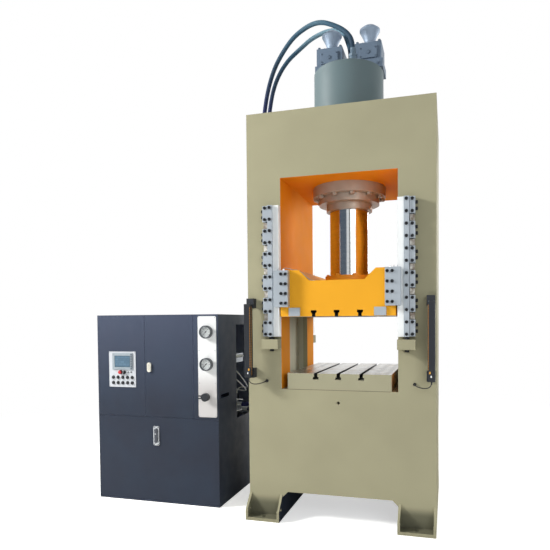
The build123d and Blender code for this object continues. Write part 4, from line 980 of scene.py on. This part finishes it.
class PRESS_OT_control_panel(bpy.types.Operator):
    """Makes the display and key strip of the touch screen, the rings round the buttons and the plate's screws"""
    bl_idname = "press.control_panel"
    bl_label = "Control panel"

    def execute(self, context):
        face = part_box("control_plate")[0].y
        low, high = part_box("touch_screen")
        border, recess, strip = 22 * MM, 2 * MM, 17 * MM
        glass_low = Vector((low.x + border, 0, low.z + border))
        glass_high = Vector((high.x - border, 0, high.z - border))
        centre = (glass_low + glass_high) / 2
        display = pad(glass_high.x - glass_low.x - 0.6 * MM, glass_high.z - glass_low.z - 0.6 * MM, 1.2 * MM,
                      (centre.x, low.y + recess, centre.z), "-y", 2 * MM, 0.3 * MM)
        piece("display", [display], "control_door", "screen_housing",
              made("display_glass", display_glass, glass_low, glass_high))
        strip_x = high.x - strip / 2 - 2 * MM
        keys = pad(strip, high.z - low.z - 8 * MM, 0.8 * MM, (strip_x, low.y, middle("touch_screen")[2]), "-y",
                   3 * MM, 0.3 * MM)
        piece("key_strip", [keys], "control_door", "screen_housing",
              made("key_strip_film", moulded, "#5d6670", roughness=0.35))
        domes = [pad(11 * MM, 8 * MM, 1.8 * MM, (strip_x, low.y, z), "-y", 3 * MM, 0.8 * MM)
                 for z in np.linspace(low.z + 20 * MM, high.z - 20 * MM, 6)]
        piece("screen_keys", domes, "control_door", "screen_housing", made("key_cap_plastic", moulded, "#8d979e"))
        rings = []
        for number in range(1, 11):
            first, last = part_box(f"button_{number}")
            size = last.x - first.x
            x, _, z = middle(f"button_{number}")
            rings.append(turned([(size + 1.2 * MM, 0), (size + 7 * MM, 0), (size + 7 * MM, 2 * MM),
                                 (size + 5 * MM, 3.4 * MM), (size + 1.2 * MM, 3.4 * MM)], (x, face, z), hollow=True))
        piece("button_rings", rings, "control_door", "button_black", black_plastic())
        estop_x, _, estop_z = middle("estop_button")
        collar = turned(in_mm((20, 0), (40, 0), (40, 1.2), (30, 3), (20, 3)), (estop_x, face, estop_z), hollow=True)
        piece("estop_collar", [collar], "control_door", "button_black", black_plastic())
        lamps = [turned(in_mm((17, 0), (17, 2), (15, 3), (12, 3), (11, 6), (7, 8), (2, 8.6)),
                        (estop_x + x, face, estop_z), "-y", 28) for x in (78 * MM, 106 * MM)]
        piece("pilot_lamps", lamps, "control_door", "button_black",
              made("pilot_lamp_lens", moulded, "#8f9498", roughness=0.3))
        piece("control_plate_screws", corner_screws("control_plate", 8 * MM, 6 * MM, 2.6 * MM), "control_door",
              "zinc_plated_steel", zinc())
        return {"FINISHED"}


class PRESS_OT_latches(bpy.types.Operator):
    """Makes the key slots, trims and screws of the two door latches"""
    bl_idname = "press.latches"
    bl_label = "Latches"

    def execute(self, context):
        turn = pivot("upper_latch_turn")
        inlay = pad(15 * MM, 56 * MM, 0.8 * MM, (turn.x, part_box("upper_latch")[0].y, turn.z), "-y", 3 * MM, 0.3 * MM)
        piece("upper_latch_inlay", [inlay], "upper_latch", "latch_cream",
              made("latch_inlay_lacquer", moulded, "#c9c6b9"))
        piece("lower_latch_screws", corner_screws("latch_plate", 9 * MM, 9 * MM, 3.5 * MM), "lower_panel",
              "latch_chrome", black_oxide())
        low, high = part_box("latch_plate")
        width, height = high.x - low.x, high.z - low.z
        # The lever swings 0.3 mm over the plate, so the border that it passes over is only 0.2 mm high
        lip = 0.2 * MM
        border = slab([(width, height, 8 * MM, 0), (width - 1 * MM, height - 1 * MM, 7.5 * MM, lip),
                       (width - 11 * MM, height - 11 * MM, 4 * MM, lip),
                       (width - 13 * MM, height - 13 * MM, 3 * MM, 0)],
                      (middle("latch_plate")[0], low.y, middle("latch_plate")[2]), hollow=True)
        piece("lower_latch_border", [border], "lower_panel", "latch_chrome", finish_of("latch_plate"))
        lever = pivot("lower_latch_turn")
        place = (lever.x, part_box("lower_latch")[0].y, lever.z)
        key = [turned(in_mm((15, 0), (15, 1.5), (12, 2.2)), place),
               pad(3 * MM, 9 * MM, 2.6 * MM, place, "-y", 1.4 * MM, 0.2 * MM)]
        piece("lower_latch_lock", key, "lower_latch", "latch_chrome", zinc())
        return {"FINISHED"}


class PRESS_OT_valves(bpy.types.Operator):
    """Makes the screws, cover plates and pilot plugs of the prefill valves on top of the cylinder"""
    bl_idname = "press.valves"
    bl_label = "Prefill valves"

    def execute(self, context):
        low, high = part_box("prefill_blocks")
        base_width, body_width = 246 * MM, 222 * MM
        middle_y = middle("prefill_blocks")[1]
        front, cover_z = middle_y - body_width / 2, low.z + 70 * MM + 62 * MM
        screws, plates, plugs = [], [], []
        for x in (low.x + base_width / 2, high.x - base_width / 2):
            for dx, dy in CORNERS:
                screws += [socket_screw((x + dx * 92 * MM, middle_y + dy * 92 * MM, high.z), "+z", 24 * MM, 18 * MM),
                           socket_screw((x + dx * 54 * MM, middle_y + dy * 54 * MM, high.z + 20 * MM), "+z",
                                        13 * MM, 9 * MM)]
            plates += [pad(140 * MM, 140 * MM, 20 * MM, (x, middle_y, high.z), "+z", 8 * MM, 2 * MM),
                       pad(150 * MM, 96 * MM, 12 * MM, (x, front, cover_z), "-y", 6 * MM, 2 * MM)]
            screws += [socket_screw((x + dx * 62 * MM, front - 12 * MM, cover_z + dz * 34 * MM), "-y", 13 * MM,
                                    4 * MM) for dx, dz in CORNERS]
            plugs.append(hexagonal(in_mm((30, 12), (30, 16), (26, 18)), (x, front, cover_z)))
            plugs += [turned(in_mm((22, 0), (22, 5), (18, 7)),
                             (x + dx * 78 * MM, middle_y - base_width / 2, low.z + 34 * MM), "-y", 24)
                      for dx in (-1, 1)]
        piece("valve_plates", plates, "press", "valve_enamel", finish_of("prefill_blocks"))
        sprayed = made("sprayed_screw_steel", cast_finish, "#5d6e80", metallic=0.1, roughness=0.55)
        piece("valve_screws", screws, "press", "blackened_steel", sprayed)
        piece("valve_plugs", plugs, "press", "valve_enamel", sprayed)
        return {"FINISHED"}


class PRESS_OT_guides(bpy.types.Operator):
    """Makes the grease lines, jack nuts, trays in the uprights, the dark strip under the bolster, screw heads and
    packing strips
    """
    bl_idname = "press.guides"
    bl_label = "Guide fittings"

    def execute(self, context):
        self.add_grease_lines()
        self.add_frame_fittings()
        self.add_screw_heads()
        return {"FINISHED"}

    def add_grease_lines(self):
        """Pipes that lie on the slide's shoulders from its guide plates to the rod, and nipples on the plates."""
        slide_low, slide_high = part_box("slide")
        plate_low, plate_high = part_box("guide_plates")
        bore = settings("line_sizes").grease_pipe / 2
        shoulder_start, waist_end, waist_drop, plate_inset = 300 * MM, 214 * MM, 84 * MM, 76 * MM
        top, waist = slide_high.z + bore, slide_high.z - waist_drop + bore
        start = plate_low.x + plate_inset
        pipes, nipples = [], []
        for sy in (-1, 1):
            front, lie = sy * (abs(plate_low.y) - 22 * MM), sy * (abs(slide_low.y) - 18 * MM)
            path = smooth_path([(start, front, plate_high.z + 6 * MM), (start, front, top + 16 * MM),
                                (start + 34 * MM, lie, top + 12 * MM), (start + 60 * MM, lie, top),
                                (-shoulder_start, lie, top), (-waist_end, lie, waist),
                                (-waist_end + 40 * MM, lie, waist),
                                (-waist_end + 52 * MM, lie + sy * -40 * MM, waist - 4 * MM)])
            pipes.append(along(path, bore))
            for side in (-1, 1):
                x = side * (abs(plate_low.x) - plate_inset)
                nipples.append(hexagonal(in_mm((13, 0), (13, 9), (10, 11)), (x, front, plate_high.z), "+z"))
                nipples += [turned(in_mm((9, 0), (9, 5), (5, 7), (5, 10), (7, 12), (4, 15)),
                                   (x + side * shift, front, plate_high.z), "+z", 20)
                            for shift in (26 * MM, 52 * MM)]
        piece("grease_pipes", pipes, "ram", "zinc_plated_steel", zinc())
        piece("grease_nipples", nipples, "ram", "zinc_plated_steel", zinc())

    def add_frame_fittings(self):
        """Jack screws' jam nuts, trays that line the openings in the inner walls, and the dark strip along the
        bolster's foot.
        """
        ledge_top, rail_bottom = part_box("rail_ledges")[1].z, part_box("guide_rails")[0].z
        screw_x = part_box("guide_rails")[1].x + KEEPER_WIDTH / 2
        screw_y = abs(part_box("rail_keepers")[0].y) - 35 * MM
        gap = rail_bottom - ledge_top
        nuts = [hexagonal([(34 * MM, 0), (34 * MM, gap * 0.6), (31 * MM, gap * 0.7)],
                          (sx * screw_x, sy * screw_y, ledge_top), "+z") for sx, sy in CORNERS]
        piece("jack_nuts", nuts, "press", "blackened_steel", black_oxide())
        wall_back, opening_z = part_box("inner_walls")[1].x, 1.45
        tray = [(565 * MM, 700 * MM, 3 * MM, 46 * MM), (565 * MM, 700 * MM, 3 * MM, 0),
                (625 * MM, 760 * MM, 6 * MM, 0), (625 * MM, 760 * MM, 6 * MM, 50 * MM)]
        liners = [slab(tray, (side * wall_back, 0, opening_z), way) for side, way in ((-1, "-x"), (1, "+x"))]
        # Paler khaki than the frame: partly primer, partly painted light that lifts the shade in the openings
        piece("upright_liners", liners, "press", "frame_enamel",
              made("liner_enamel", enamel, "#bdbba6", roughness=0.6, specular=0.1))
        low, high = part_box("bolster")
        # A dark sealant strip along the bolster's foot, which also stands as painted shade for the line where it meets
        # the bed
        joint = [pad(high.x - low.x, 4 * MM, 0.5 * MM, (0, y, low.z), way, 1 * MM, 0.2 * MM)
                 for y, way in ((low.y, "-y"), (high.y, "+y"))]
        piece("bolster_shade_strip", joint, "press", "frame_enamel",
              made("joint_sealant", moulded, "#6d6852", roughness=0.7))

    def add_screw_heads(self):
        """Full-size heads over the plain ones of the rail, clamp, adjuster and guide plate screws, and the
        packing strips between the clamps."""
        rail_low, rail_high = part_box("guide_rails")
        keeper_low, keeper_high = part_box("rail_keepers")
        plate_front, liners_z = abs(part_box("guide_plates")[0].y), middle("slide_liners")[2]
        head, height, socket_floor = 24 * MM, 11 * MM, 0.76
        pitch, rows, clamp_width, clamp_set_back = 90 * MM, 12, 41 * MM, 10 * MM
        plate_x, plate_pitch, plate_rows = 373 * MM, 75 * MM, 4
        levels = (rail_low.z + rail_high.z) / 2 + pitch * (np.arange(rows) - (rows - 1) / 2)
        keeper_x = rail_high.x + KEEPER_WIDTH / 2
        clamp_x = keeper_high.x - clamp_width / 2
        face = abs(keeper_low.y)
        rail_heads, slide_heads, strips = [], [], []
        for sx, sy in CORNERS:
            way = "-y" if sy < 0 else "+y"
            for z in levels:
                for x, y in ((keeper_x, face), (clamp_x, face - clamp_set_back)):
                    rail_heads.append(socket_screw((sx * x, sy * y, z), way, head, height, 3, socket_floor))
            for clamp_z in (levels[::2] + levels[1::2]) / 2:
                for shift in (-23 * MM, 23 * MM):
                    rail_heads.append(socket_screw((sx * keeper_high.x, sy * (face - 40 * MM), clamp_z + shift),
                                                   "+x" if sx > 0 else "-x", 26 * MM, 17 * MM, 3, 0.84))
            for z in (levels[1:-1:2] + levels[2::2]) / 2:
                strips.append(pad(clamp_width - 7 * MM, 46 * MM, 46 * MM,
                                  (sx * (clamp_x - 2 * MM), sy * (face - 70 * MM), z), way, 2 * MM, 1 * MM))
            for column in (18 * MM, 54 * MM):
                for row in range(plate_rows):
                    place = (sx * (plate_x + column), sy * plate_front,
                             liners_z + (row - (plate_rows - 1) / 2) * plate_pitch)
                    # The rear heads end where the CAD's do, because they are the rearmost thing on the press
                    slide_heads.append(socket_screw(place, way, head, height, 3, socket_floor) if sy < 0 else
                                       turned(in_mm((24, 0), (24, 6.6), (22.6, 7.9), (16.8, 7.9), (16.8, 0)), place,
                                              way, 18, hollow=True))
        piece("rail_screw_heads", rail_heads, "press", "blackened_steel", black_oxide())
        piece("guide_screw_heads", slide_heads, "ram", "blackened_steel", black_oxide())
        piece("packing_strips", strips, "press", "rail_steel", made("packing_strip_steel", packing_steel))


class PRESS_OT_power_unit(bpy.types.Operator):
    """Makes the motor's ribs and cowl, side bay pipes, contactor faces, tank fittings and door seals"""
    bl_idname = "press.power_unit"
    bl_label = "Power unit"

    def execute(self, context):
        self.add_motor_parts()
        self.add_bay()
        self.add_relays()
        self.add_tank_parts()
        self.add_seals()
        return {"FINISHED"}

    def add_motor_parts(self):
        """Cooling ribs round the motor, as long bars that taper outwards, its fan cowl and its terminal box."""
        axis_y, axis_z = -0.215, 0.230
        shell_left, shell_length, diameter = -2.080, 0.430, 0.300
        foot, tip = diameter / 2 - 2 * MM, diameter / 2 + 16 * MM
        start = np.array([shell_left + 24 * MM, axis_y, axis_z])
        ribs = []
        for angle in np.linspace(0, 2 * pi, 36, endpoint=False):
            if 60 < np.degrees(angle) % 180 < 120:
                continue
            out, across = np.array([0, cos(angle), sin(angle)]), np.array([0, -sin(angle), cos(angle)])
            near = start + [foot * out - 3 * MM * across, foot * out + 3 * MM * across,
                            tip * out + 1.6 * MM * across, tip * out - 1.6 * MM * across]
            far = near + np.array([shell_length - 48 * MM, 0, 0])
            ribs.append((np.concatenate([near, far]), [[0, 3, 2, 1], [4, 5, 6, 7], [0, 1, 5, 4], [1, 2, 6, 5],
                                                       [2, 3, 7, 6], [3, 0, 4, 7]]))
        piece("motor_ribs", ribs, "press", "motor_enamel", motor_enamel(), smooth=False)
        cowl = turned([(diameter - 8 * MM, 0), (diameter - 8 * MM, 40 * MM), (diameter - 30 * MM, 58 * MM),
                       (diameter * 0.62, 62 * MM), (diameter * 0.6, 56 * MM)], (shell_left, axis_y, axis_z), "-x")
        box_lid = pad(84 * MM, 84 * MM, 7 * MM,
                      (shell_left + shell_length / 2, axis_y, axis_z + diameter / 2 + 50 * MM), "+z", 8 * MM, 2 * MM)
        piece("motor_cowl", [cowl, box_lid], "press", "motor_enamel", motor_enamel())

    def add_bay(self):
        """Unions on the upper block, and the thin pilot pipes that run down from it past the side opening."""
        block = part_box("valve_manifold")[1]
        right, bottom = block.x, block.z - 80 * MM
        pipe_radius, lower_block_top = 5 * MM, 0.878
        unions = []
        for y in (0.018, 0.052, 0.086, 0.120, 0.154):
            place = (right, y, bottom + 54 * MM)
            unions += [hexagonal(in_mm((24, 0), (24, 9), (21, 11)), place, "+x", 4),
                       turned(in_mm((15, 11), (15, 18), (11, 20)), place, "+x", 24)]
        unions += [turned(in_mm((20, 0), (20, 12), (14, 15)), (right - 30 * MM, y, bottom), "-z", 24)
                   for y in (0.012, 0.050)]
        falls = [[(right - 30 * MM, 0.012, bottom), (right - 24 * MM, 0.012, 1.150), (-1.072, 0.064, 1.105),
                  (-1.066, 0.262, 0.972), (-1.085, 0.315, 0.935), (-1.180, 0.300, 0.945),
                  (-1.185, 0.290, lower_block_top)],
                 [(right - 30 * MM, 0.050, bottom), (right - 30 * MM, 0.030, 1.150), (-1.085, -0.010, 1.072),
                  (-1.070, 0.040, 1.035), (-1.066, 0.258, 0.921), (-1.110, 0.285, 0.905), (-1.200, 0.262, 0.930),
                  (-1.205, 0.250, lower_block_top)]]
        loops = [[(-1.200, 0.045, 0.855), (-1.200, -0.010, 0.860), (-1.150, -0.045, 0.868), (-1.085, -0.030, 0.868),
                  (-1.070, 0.030, 0.862), (-1.070, 0.120, 0.848), (-1.078, 0.190, 0.836), (-1.110, 0.215, 0.833),
                  (-1.171, 0.215, 0.833)],
                 [(-1.240, 0.045, 0.760), (-1.240, -0.020, 0.760), (-1.170, -0.055, 0.760), (-1.090, -0.040, 0.760),
                  (-1.074, 0.030, 0.755), (-1.074, 0.120, 0.748), (-1.080, 0.165, 0.745), (-1.110, 0.185, 0.744),
                  (-1.171, 0.185, 0.744)]]
        ends = [(fall[-1], "+z") for fall in falls]
        for loop in loops:
            ends += [(loop[0], "-y"), (loop[-1], "+x")]
        unions += [turned(in_mm((20, 0), (20, 14), (12, 18)), end, way, 24) for end, way in ends]
        # Near white: pale zinc, with a painted highlight so that the pipes show bright in the shaded bay
        bright = made("pilot_pipe_steel", ground_metal, "#f0f3f5", roughness=0.4, metallic=0.2)
        piece("bay_unions", unions, "press", "zinc_plated_steel", bright)
        piece("pilot_pipes", [along(smooth_path(line), pipe_radius) for line in falls + loops], "press",
              "zinc_plated_steel", bright)

    def add_relays(self):
        """Faces of the contactors and the slots of the cable ducts behind the doors."""
        low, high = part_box("electrical_panel")
        columns, rows, pitch_z, relay_height, margin = 5, 2, 300 * MM, 110 * MM, 60 * MM
        duct_height, duct_face = 60 * MM, high.y - 4 * MM - 50 * MM
        pitch = (high.x - low.x) / columns
        faces, terminals, slots = [], [], []
        for row in range(rows):
            base = low.z + margin + row * pitch_z
            relay_z = base + relay_height / 2
            for column in range(columns):
                x = low.x + (column + 0.5) * pitch
                faces += [pad(70 * MM, 58 * MM, 6 * MM, (x, low.y, relay_z), "-y", 4 * MM, 1.5 * MM),
                          pad(18 * MM, 18 * MM, 4 * MM, (x, low.y - 6 * MM, relay_z), "-y", 3 * MM, 1 * MM)]
                terminals += [socket_screw((x + shift * 22 * MM, low.y, base + edge), "-y", 9 * MM, 3 * MM)
                              for shift in (-1, 0, 1) for edge in (13 * MM, relay_height - 13 * MM)]
            duct_middle = base + relay_height + duct_height * 1.5
            slots += [pad(8 * MM, duct_height - 16 * MM, 1 * MM, (x, duct_face, duct_middle), "-y", 2 * MM, 0.3 * MM)
                      for x in np.arange(low.x + margin, high.x - margin, 18 * MM)]
        piece("contactor_faces", faces, "press", "galvanised_sheet", made("contactor_moulding", moulded, "#2f3236"))
        piece("contactor_terminals", terminals, "press", "zinc_plated_steel", zinc())
        piece("duct_slots", slots, "press", "galvanised_sheet", made("duct_plastic", moulded, "#6d7378"))

    def add_tank_parts(self):
        """Filler cap and level glass of the oil tank."""
        low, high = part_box("oil_tank")
        cap = turned(in_mm((96, 0), (96, 8), (78, 10), (78, 44), (70, 50)),
                     (low.x + 160 * MM, middle("oil_tank")[1], high.z), "+z")
        piece("filler_cap", [cap], "press", "zinc_plated_steel", zinc())
        level = slab([(28 * MM, 190 * MM, 6 * MM, 0), (28 * MM, 190 * MM, 6 * MM, 12 * MM),
                      (24 * MM, 186 * MM, 5 * MM, 14 * MM), (14 * MM, 120 * MM, 4 * MM, 14 * MM),
                      (14 * MM, 120 * MM, 4 * MM, 6 * MM)], (high.x - 160 * MM, low.y, high.z - 150 * MM))
        piece("level_gauge", [level], "press", "machine_grey_enamel", black_plastic())

    def add_seals(self):
        """Rubber strips in the gaps between the doors and over the lower panel, held off every door edge."""
        left, right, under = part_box("control_door"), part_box("main_door"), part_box("lower_panel")
        depth, back, play = 7 * MM, 2.5 * MM, 0.6 * MM
        y = left[0].y + back + depth
        gap_x, gap_z = (left[1].x, right[0].x), (under[1].z, right[0].z)
        strips = [pad(wide, tall, depth, (sum(across) / 2, y, sum(upward) / 2), "-y", 1 * MM, 0.3 * MM)
                  for wide, tall, across, upward in (
                      (gap_x[1] - gap_x[0] - 2 * play, left[1].z - left[0].z - 8 * MM, gap_x,
                       (left[0].z, left[1].z)),
                      (right[1].x - left[0].x, gap_z[1] - gap_z[0] - 2 * play, (left[0].x, right[1].x), gap_z))]
        piece("door_seals", strips, "press", "cabinet_enamel",
              made("door_seal_rubber", moulded, "#4a5462", roughness=0.7))


# Photograph's camera, found by fitting the frame's corners: pixels are those of the 550 pixel wide image
IMAGE_WIDTH = 550
FOCAL_PIXELS = 518.84
CENTRE_SHIFT_PIXELS = (30.42, 60.74)
CAMERA_PLACE = (0.8103, -4.453, 1.5882)
CAMERA_TURN = (0.2656, -0.0287, -0.0072)
SENSOR_WIDTH = 36


def camera_matrix(yaw, pitch, roll):
    """The camera's turn: it looks along (-sin yaw cos pitch, cos yaw cos pitch, sin pitch), rolled about that."""
    ahead = Vector((-sin(yaw) * cos(pitch), cos(yaw) * cos(pitch), sin(pitch)))
    right = ahead.cross(Vector((0, 0, 1))).normalized()
    up = right.cross(ahead)
    rolled = (cos(roll) * right + sin(roll) * up, cos(roll) * up - sin(roll) * right, -ahead)
    return Matrix(rolled).transposed().to_4x4()


def area_lamp(name, place, target, size, power, colour):
    """A square lamp that faces a target."""
    light = bpy.data.lights.new(name, "AREA")
    light.size = size
    light.energy = power
    light.color = colour
    lamp = bpy.data.objects.new(name, light)
    turn = (Vector(target) - Vector(place)).to_track_quat("-Z", "Y").to_matrix().to_4x4()
    lamp.matrix_world = Matrix.Translation(place) @ turn
    bpy.context.scene.collection.objects.link(lamp)


class PRESS_OT_studio(bpy.types.Operator):
    """Sets the pale floor, the soft light and the photograph's camera"""
    bl_idname = "press.studio"
    bl_label = "Studio"

    def execute(self, context):
        scene = context.scene
        scene.view_settings.view_transform = "Standard"
        options = settings("studio")
        self.add_floor(scene)
        self.add_world(scene, options.sky_strength)
        area_lamp("key_lamp", (-6.2, -3.0, 4.6), (-0.2, -0.3, 1.8), 1.5, options.key_power, (1, 0.985, 0.96))
        area_lamp("fill_lamp", (3.6, -6.0, 3.4), (-0.2, 0, 1.7), 3.4, options.fill_power, (0.96, 0.98, 1))
        area_lamp("rear_lamp", (3.4, 4.6, 3.0), (-0.4, 0.1, 1.8), 2.6, options.rear_power, (1, 0.98, 0.95))
        camera = bpy.data.cameras.new("photo_camera")
        camera.sensor_width = SENSOR_WIDTH
        camera.lens = FOCAL_PIXELS / IMAGE_WIDTH * SENSOR_WIDTH
        camera.shift_x = -CENTRE_SHIFT_PIXELS[0] / IMAGE_WIDTH
        camera.shift_y = CENTRE_SHIFT_PIXELS[1] / IMAGE_WIDTH
        camera.clip_end = 200  # Beyond the floor's edge
        holder = bpy.data.objects.new("photo_camera", camera)
        holder.matrix_world = Matrix.Translation(CAMERA_PLACE) @ camera_matrix(*CAMERA_TURN)
        scene.collection.objects.link(holder)
        scene.camera = holder
        return {"FINISHED"}

    def add_floor(self, scene):
        """A pale floor that keeps the shadow near the press and fades to the white background further out."""
        reach, fade_from, fade_to, lift = 40.0, 2.5, 7.0, 0.55
        mesh = bpy.data.meshes.new("studio_floor")
        mesh.from_pydata([(-reach, -reach, 0), (reach, -reach, 0), (reach, reach, 0), (-reach, reach, 0)], [],
                         [(0, 1, 2, 3)])
        floor = bpy.data.objects.new("studio_floor", mesh)
        scene.collection.objects.link(floor)
        material, shader, place = blank_material("studio_paper", Roughness=0.9)
        tree = place.id_data
        shader.inputs["Base Color"].default_value = (*linear("#f3f3f1"), 1)
        distance = add_node(tree, "VectorMath", {0: place}, operation="LENGTH")
        far = add_node(tree, "MapRange", {"Value": distance, "From Min": fade_from, "From Max": fade_to},
                       interpolation_type="SMOOTHSTEP")
        rays = add_node(tree, "LightPath").node.outputs
        seen = add_node(tree, "Math", {0: rays["Is Camera Ray"], 1: rays["Is Glossy Ray"]}, operation="MAXIMUM")
        fade = add_node(tree, "Math", {0: far, 1: seen}, operation="MULTIPLY")
        white = add_node(tree, "Emission", {"Color": (1, 1, 1), "Strength": 1.0})
        lifted = add_node(tree, "Math", {0: rays["Is Camera Ray"], 1: lift}, operation="MULTIPLY")
        glow = add_node(tree, "Emission", {"Color": (1, 1, 1), "Strength": lifted})
        paper = add_node(tree, "AddShader", {0: shader.outputs[0], 1: glow})
        mix = add_node(tree, "MixShader", {0: fade, 1: paper, 2: white})
        tree.links.new(mix, tree.nodes["Material Output"].inputs["Surface"])
        mesh.materials.append(material)

    def add_world(self, scene, strength):
        """White for what the camera, metal and glass see, with a blue grey wall at the front left and a grey post
        at the front right that only metal and glass see; an even weaker light for the rest."""
        world = bpy.data.worlds.new("studio")
        scene.world = world
        world.use_nodes = True
        tree = world.node_tree
        tree.nodes.clear()
        way = add_node(tree, "SeparateXYZ", {"Vector": add_node(tree, "TexCoord", output="Generated")}).node.outputs
        wall_left, front, post_left, post_right = (
            add_node(tree, "MapRange", {"Value": way[axis], "From Min": outside, "From Max": within},
                     interpolation_type="SMOOTHSTEP")
            for axis, outside, within in (("X", -0.085, -0.13), ("Y", -0.2, -0.5), ("X", 0.12, 0.17),
                                          ("X", 0.5, 0.42)))
        wall = add_node(tree, "Math", {0: wall_left, 1: front}, operation="MULTIPLY")
        across_post = add_node(tree, "Math", {0: post_left, 1: post_right}, operation="MULTIPLY")
        post = add_node(tree, "Math", {0: across_post, 1: front}, operation="MULTIPLY")
        walled = add_node(tree, "Mix", {0: wall, 6: (1, 1, 1), 7: "#66707c"}, data_type="RGBA")
        shown = add_node(tree, "Mix", {0: post, 6: walled, 7: "#7c7b75"}, data_type="RGBA")
        rays = add_node(tree, "LightPath").node.outputs
        mirror = add_node(tree, "Math", {0: rays["Is Glossy Ray"], 1: rays["Is Transmission Ray"]},
                          operation="MAXIMUM")
        reflected, plain, soft = (add_node(tree, "Background", {"Color": colour, "Strength": power})
                                  for colour, power in ((shown, 1.0), ((1, 1, 1), 1.0), ((0.97, 0.985, 1), strength)))
        unmirrored = add_node(tree, "MixShader", {0: rays["Is Camera Ray"], 1: soft, 2: plain})
        sky = add_node(tree, "MixShader", {0: mirror, 1: unmirrored, 2: reflected})
        add_node(tree, "OutputWorld", {"Surface": sky})


class PRESS_PT_sidebar(bpy.types.Panel):
    """Lists the steps and the settings in the 3D view's sidebar"""
    bl_idname = "PRESS_PT_sidebar"
    bl_label = "Hydraulic press"
    bl_space_type = "VIEW_3D"
    bl_region_type = "UI"
    bl_category = "Press"

    def draw(self, context):
        for group in SETTING_GROUPS:
            box = self.layout.box()
            values = settings(group)
            for name in values.bl_rna.properties.keys():
                if name not in ("rna_type", "name"):
                    box.prop(values, name)
        for step in STEPS:
            self.layout.operator(step.bl_idname)


SETTING_GROUPS = {"press_finishes": PressFinishes, "line_sizes": LineSizes, "gauge_sizes": GaugeSizes,
                  "studio": StudioSettings}
STEPS = (PRESS_OT_finishes, PRESS_OT_hoses, PRESS_OT_curtains, PRESS_OT_gauges, PRESS_OT_control_panel,
         PRESS_OT_latches, PRESS_OT_valves, PRESS_OT_guides, PRESS_OT_power_unit, PRESS_OT_studio)


def register():
    for name, group in SETTING_GROUPS.items():
        bpy.utils.register_class(group)
        setattr(bpy.types.Scene, name, bpy.props.PointerProperty(type=group))
    for step in (*STEPS, PRESS_PT_sidebar):
        bpy.utils.register_class(step)


def unregister():
    for step in (PRESS_PT_sidebar, *reversed(STEPS)):
        bpy.utils.unregister_class(step)
    for name, group in SETTING_GROUPS.items():
        delattr(bpy.types.Scene, name)
        bpy.utils.unregister_class(group)


def main():
    """Dresses the press step by step."""
    register()
    for step in STEPS:
        group, name = step.bl_idname.split(".")
        getattr(getattr(bpy.ops, group), name)()


if __name__ == "__main__":
    main()
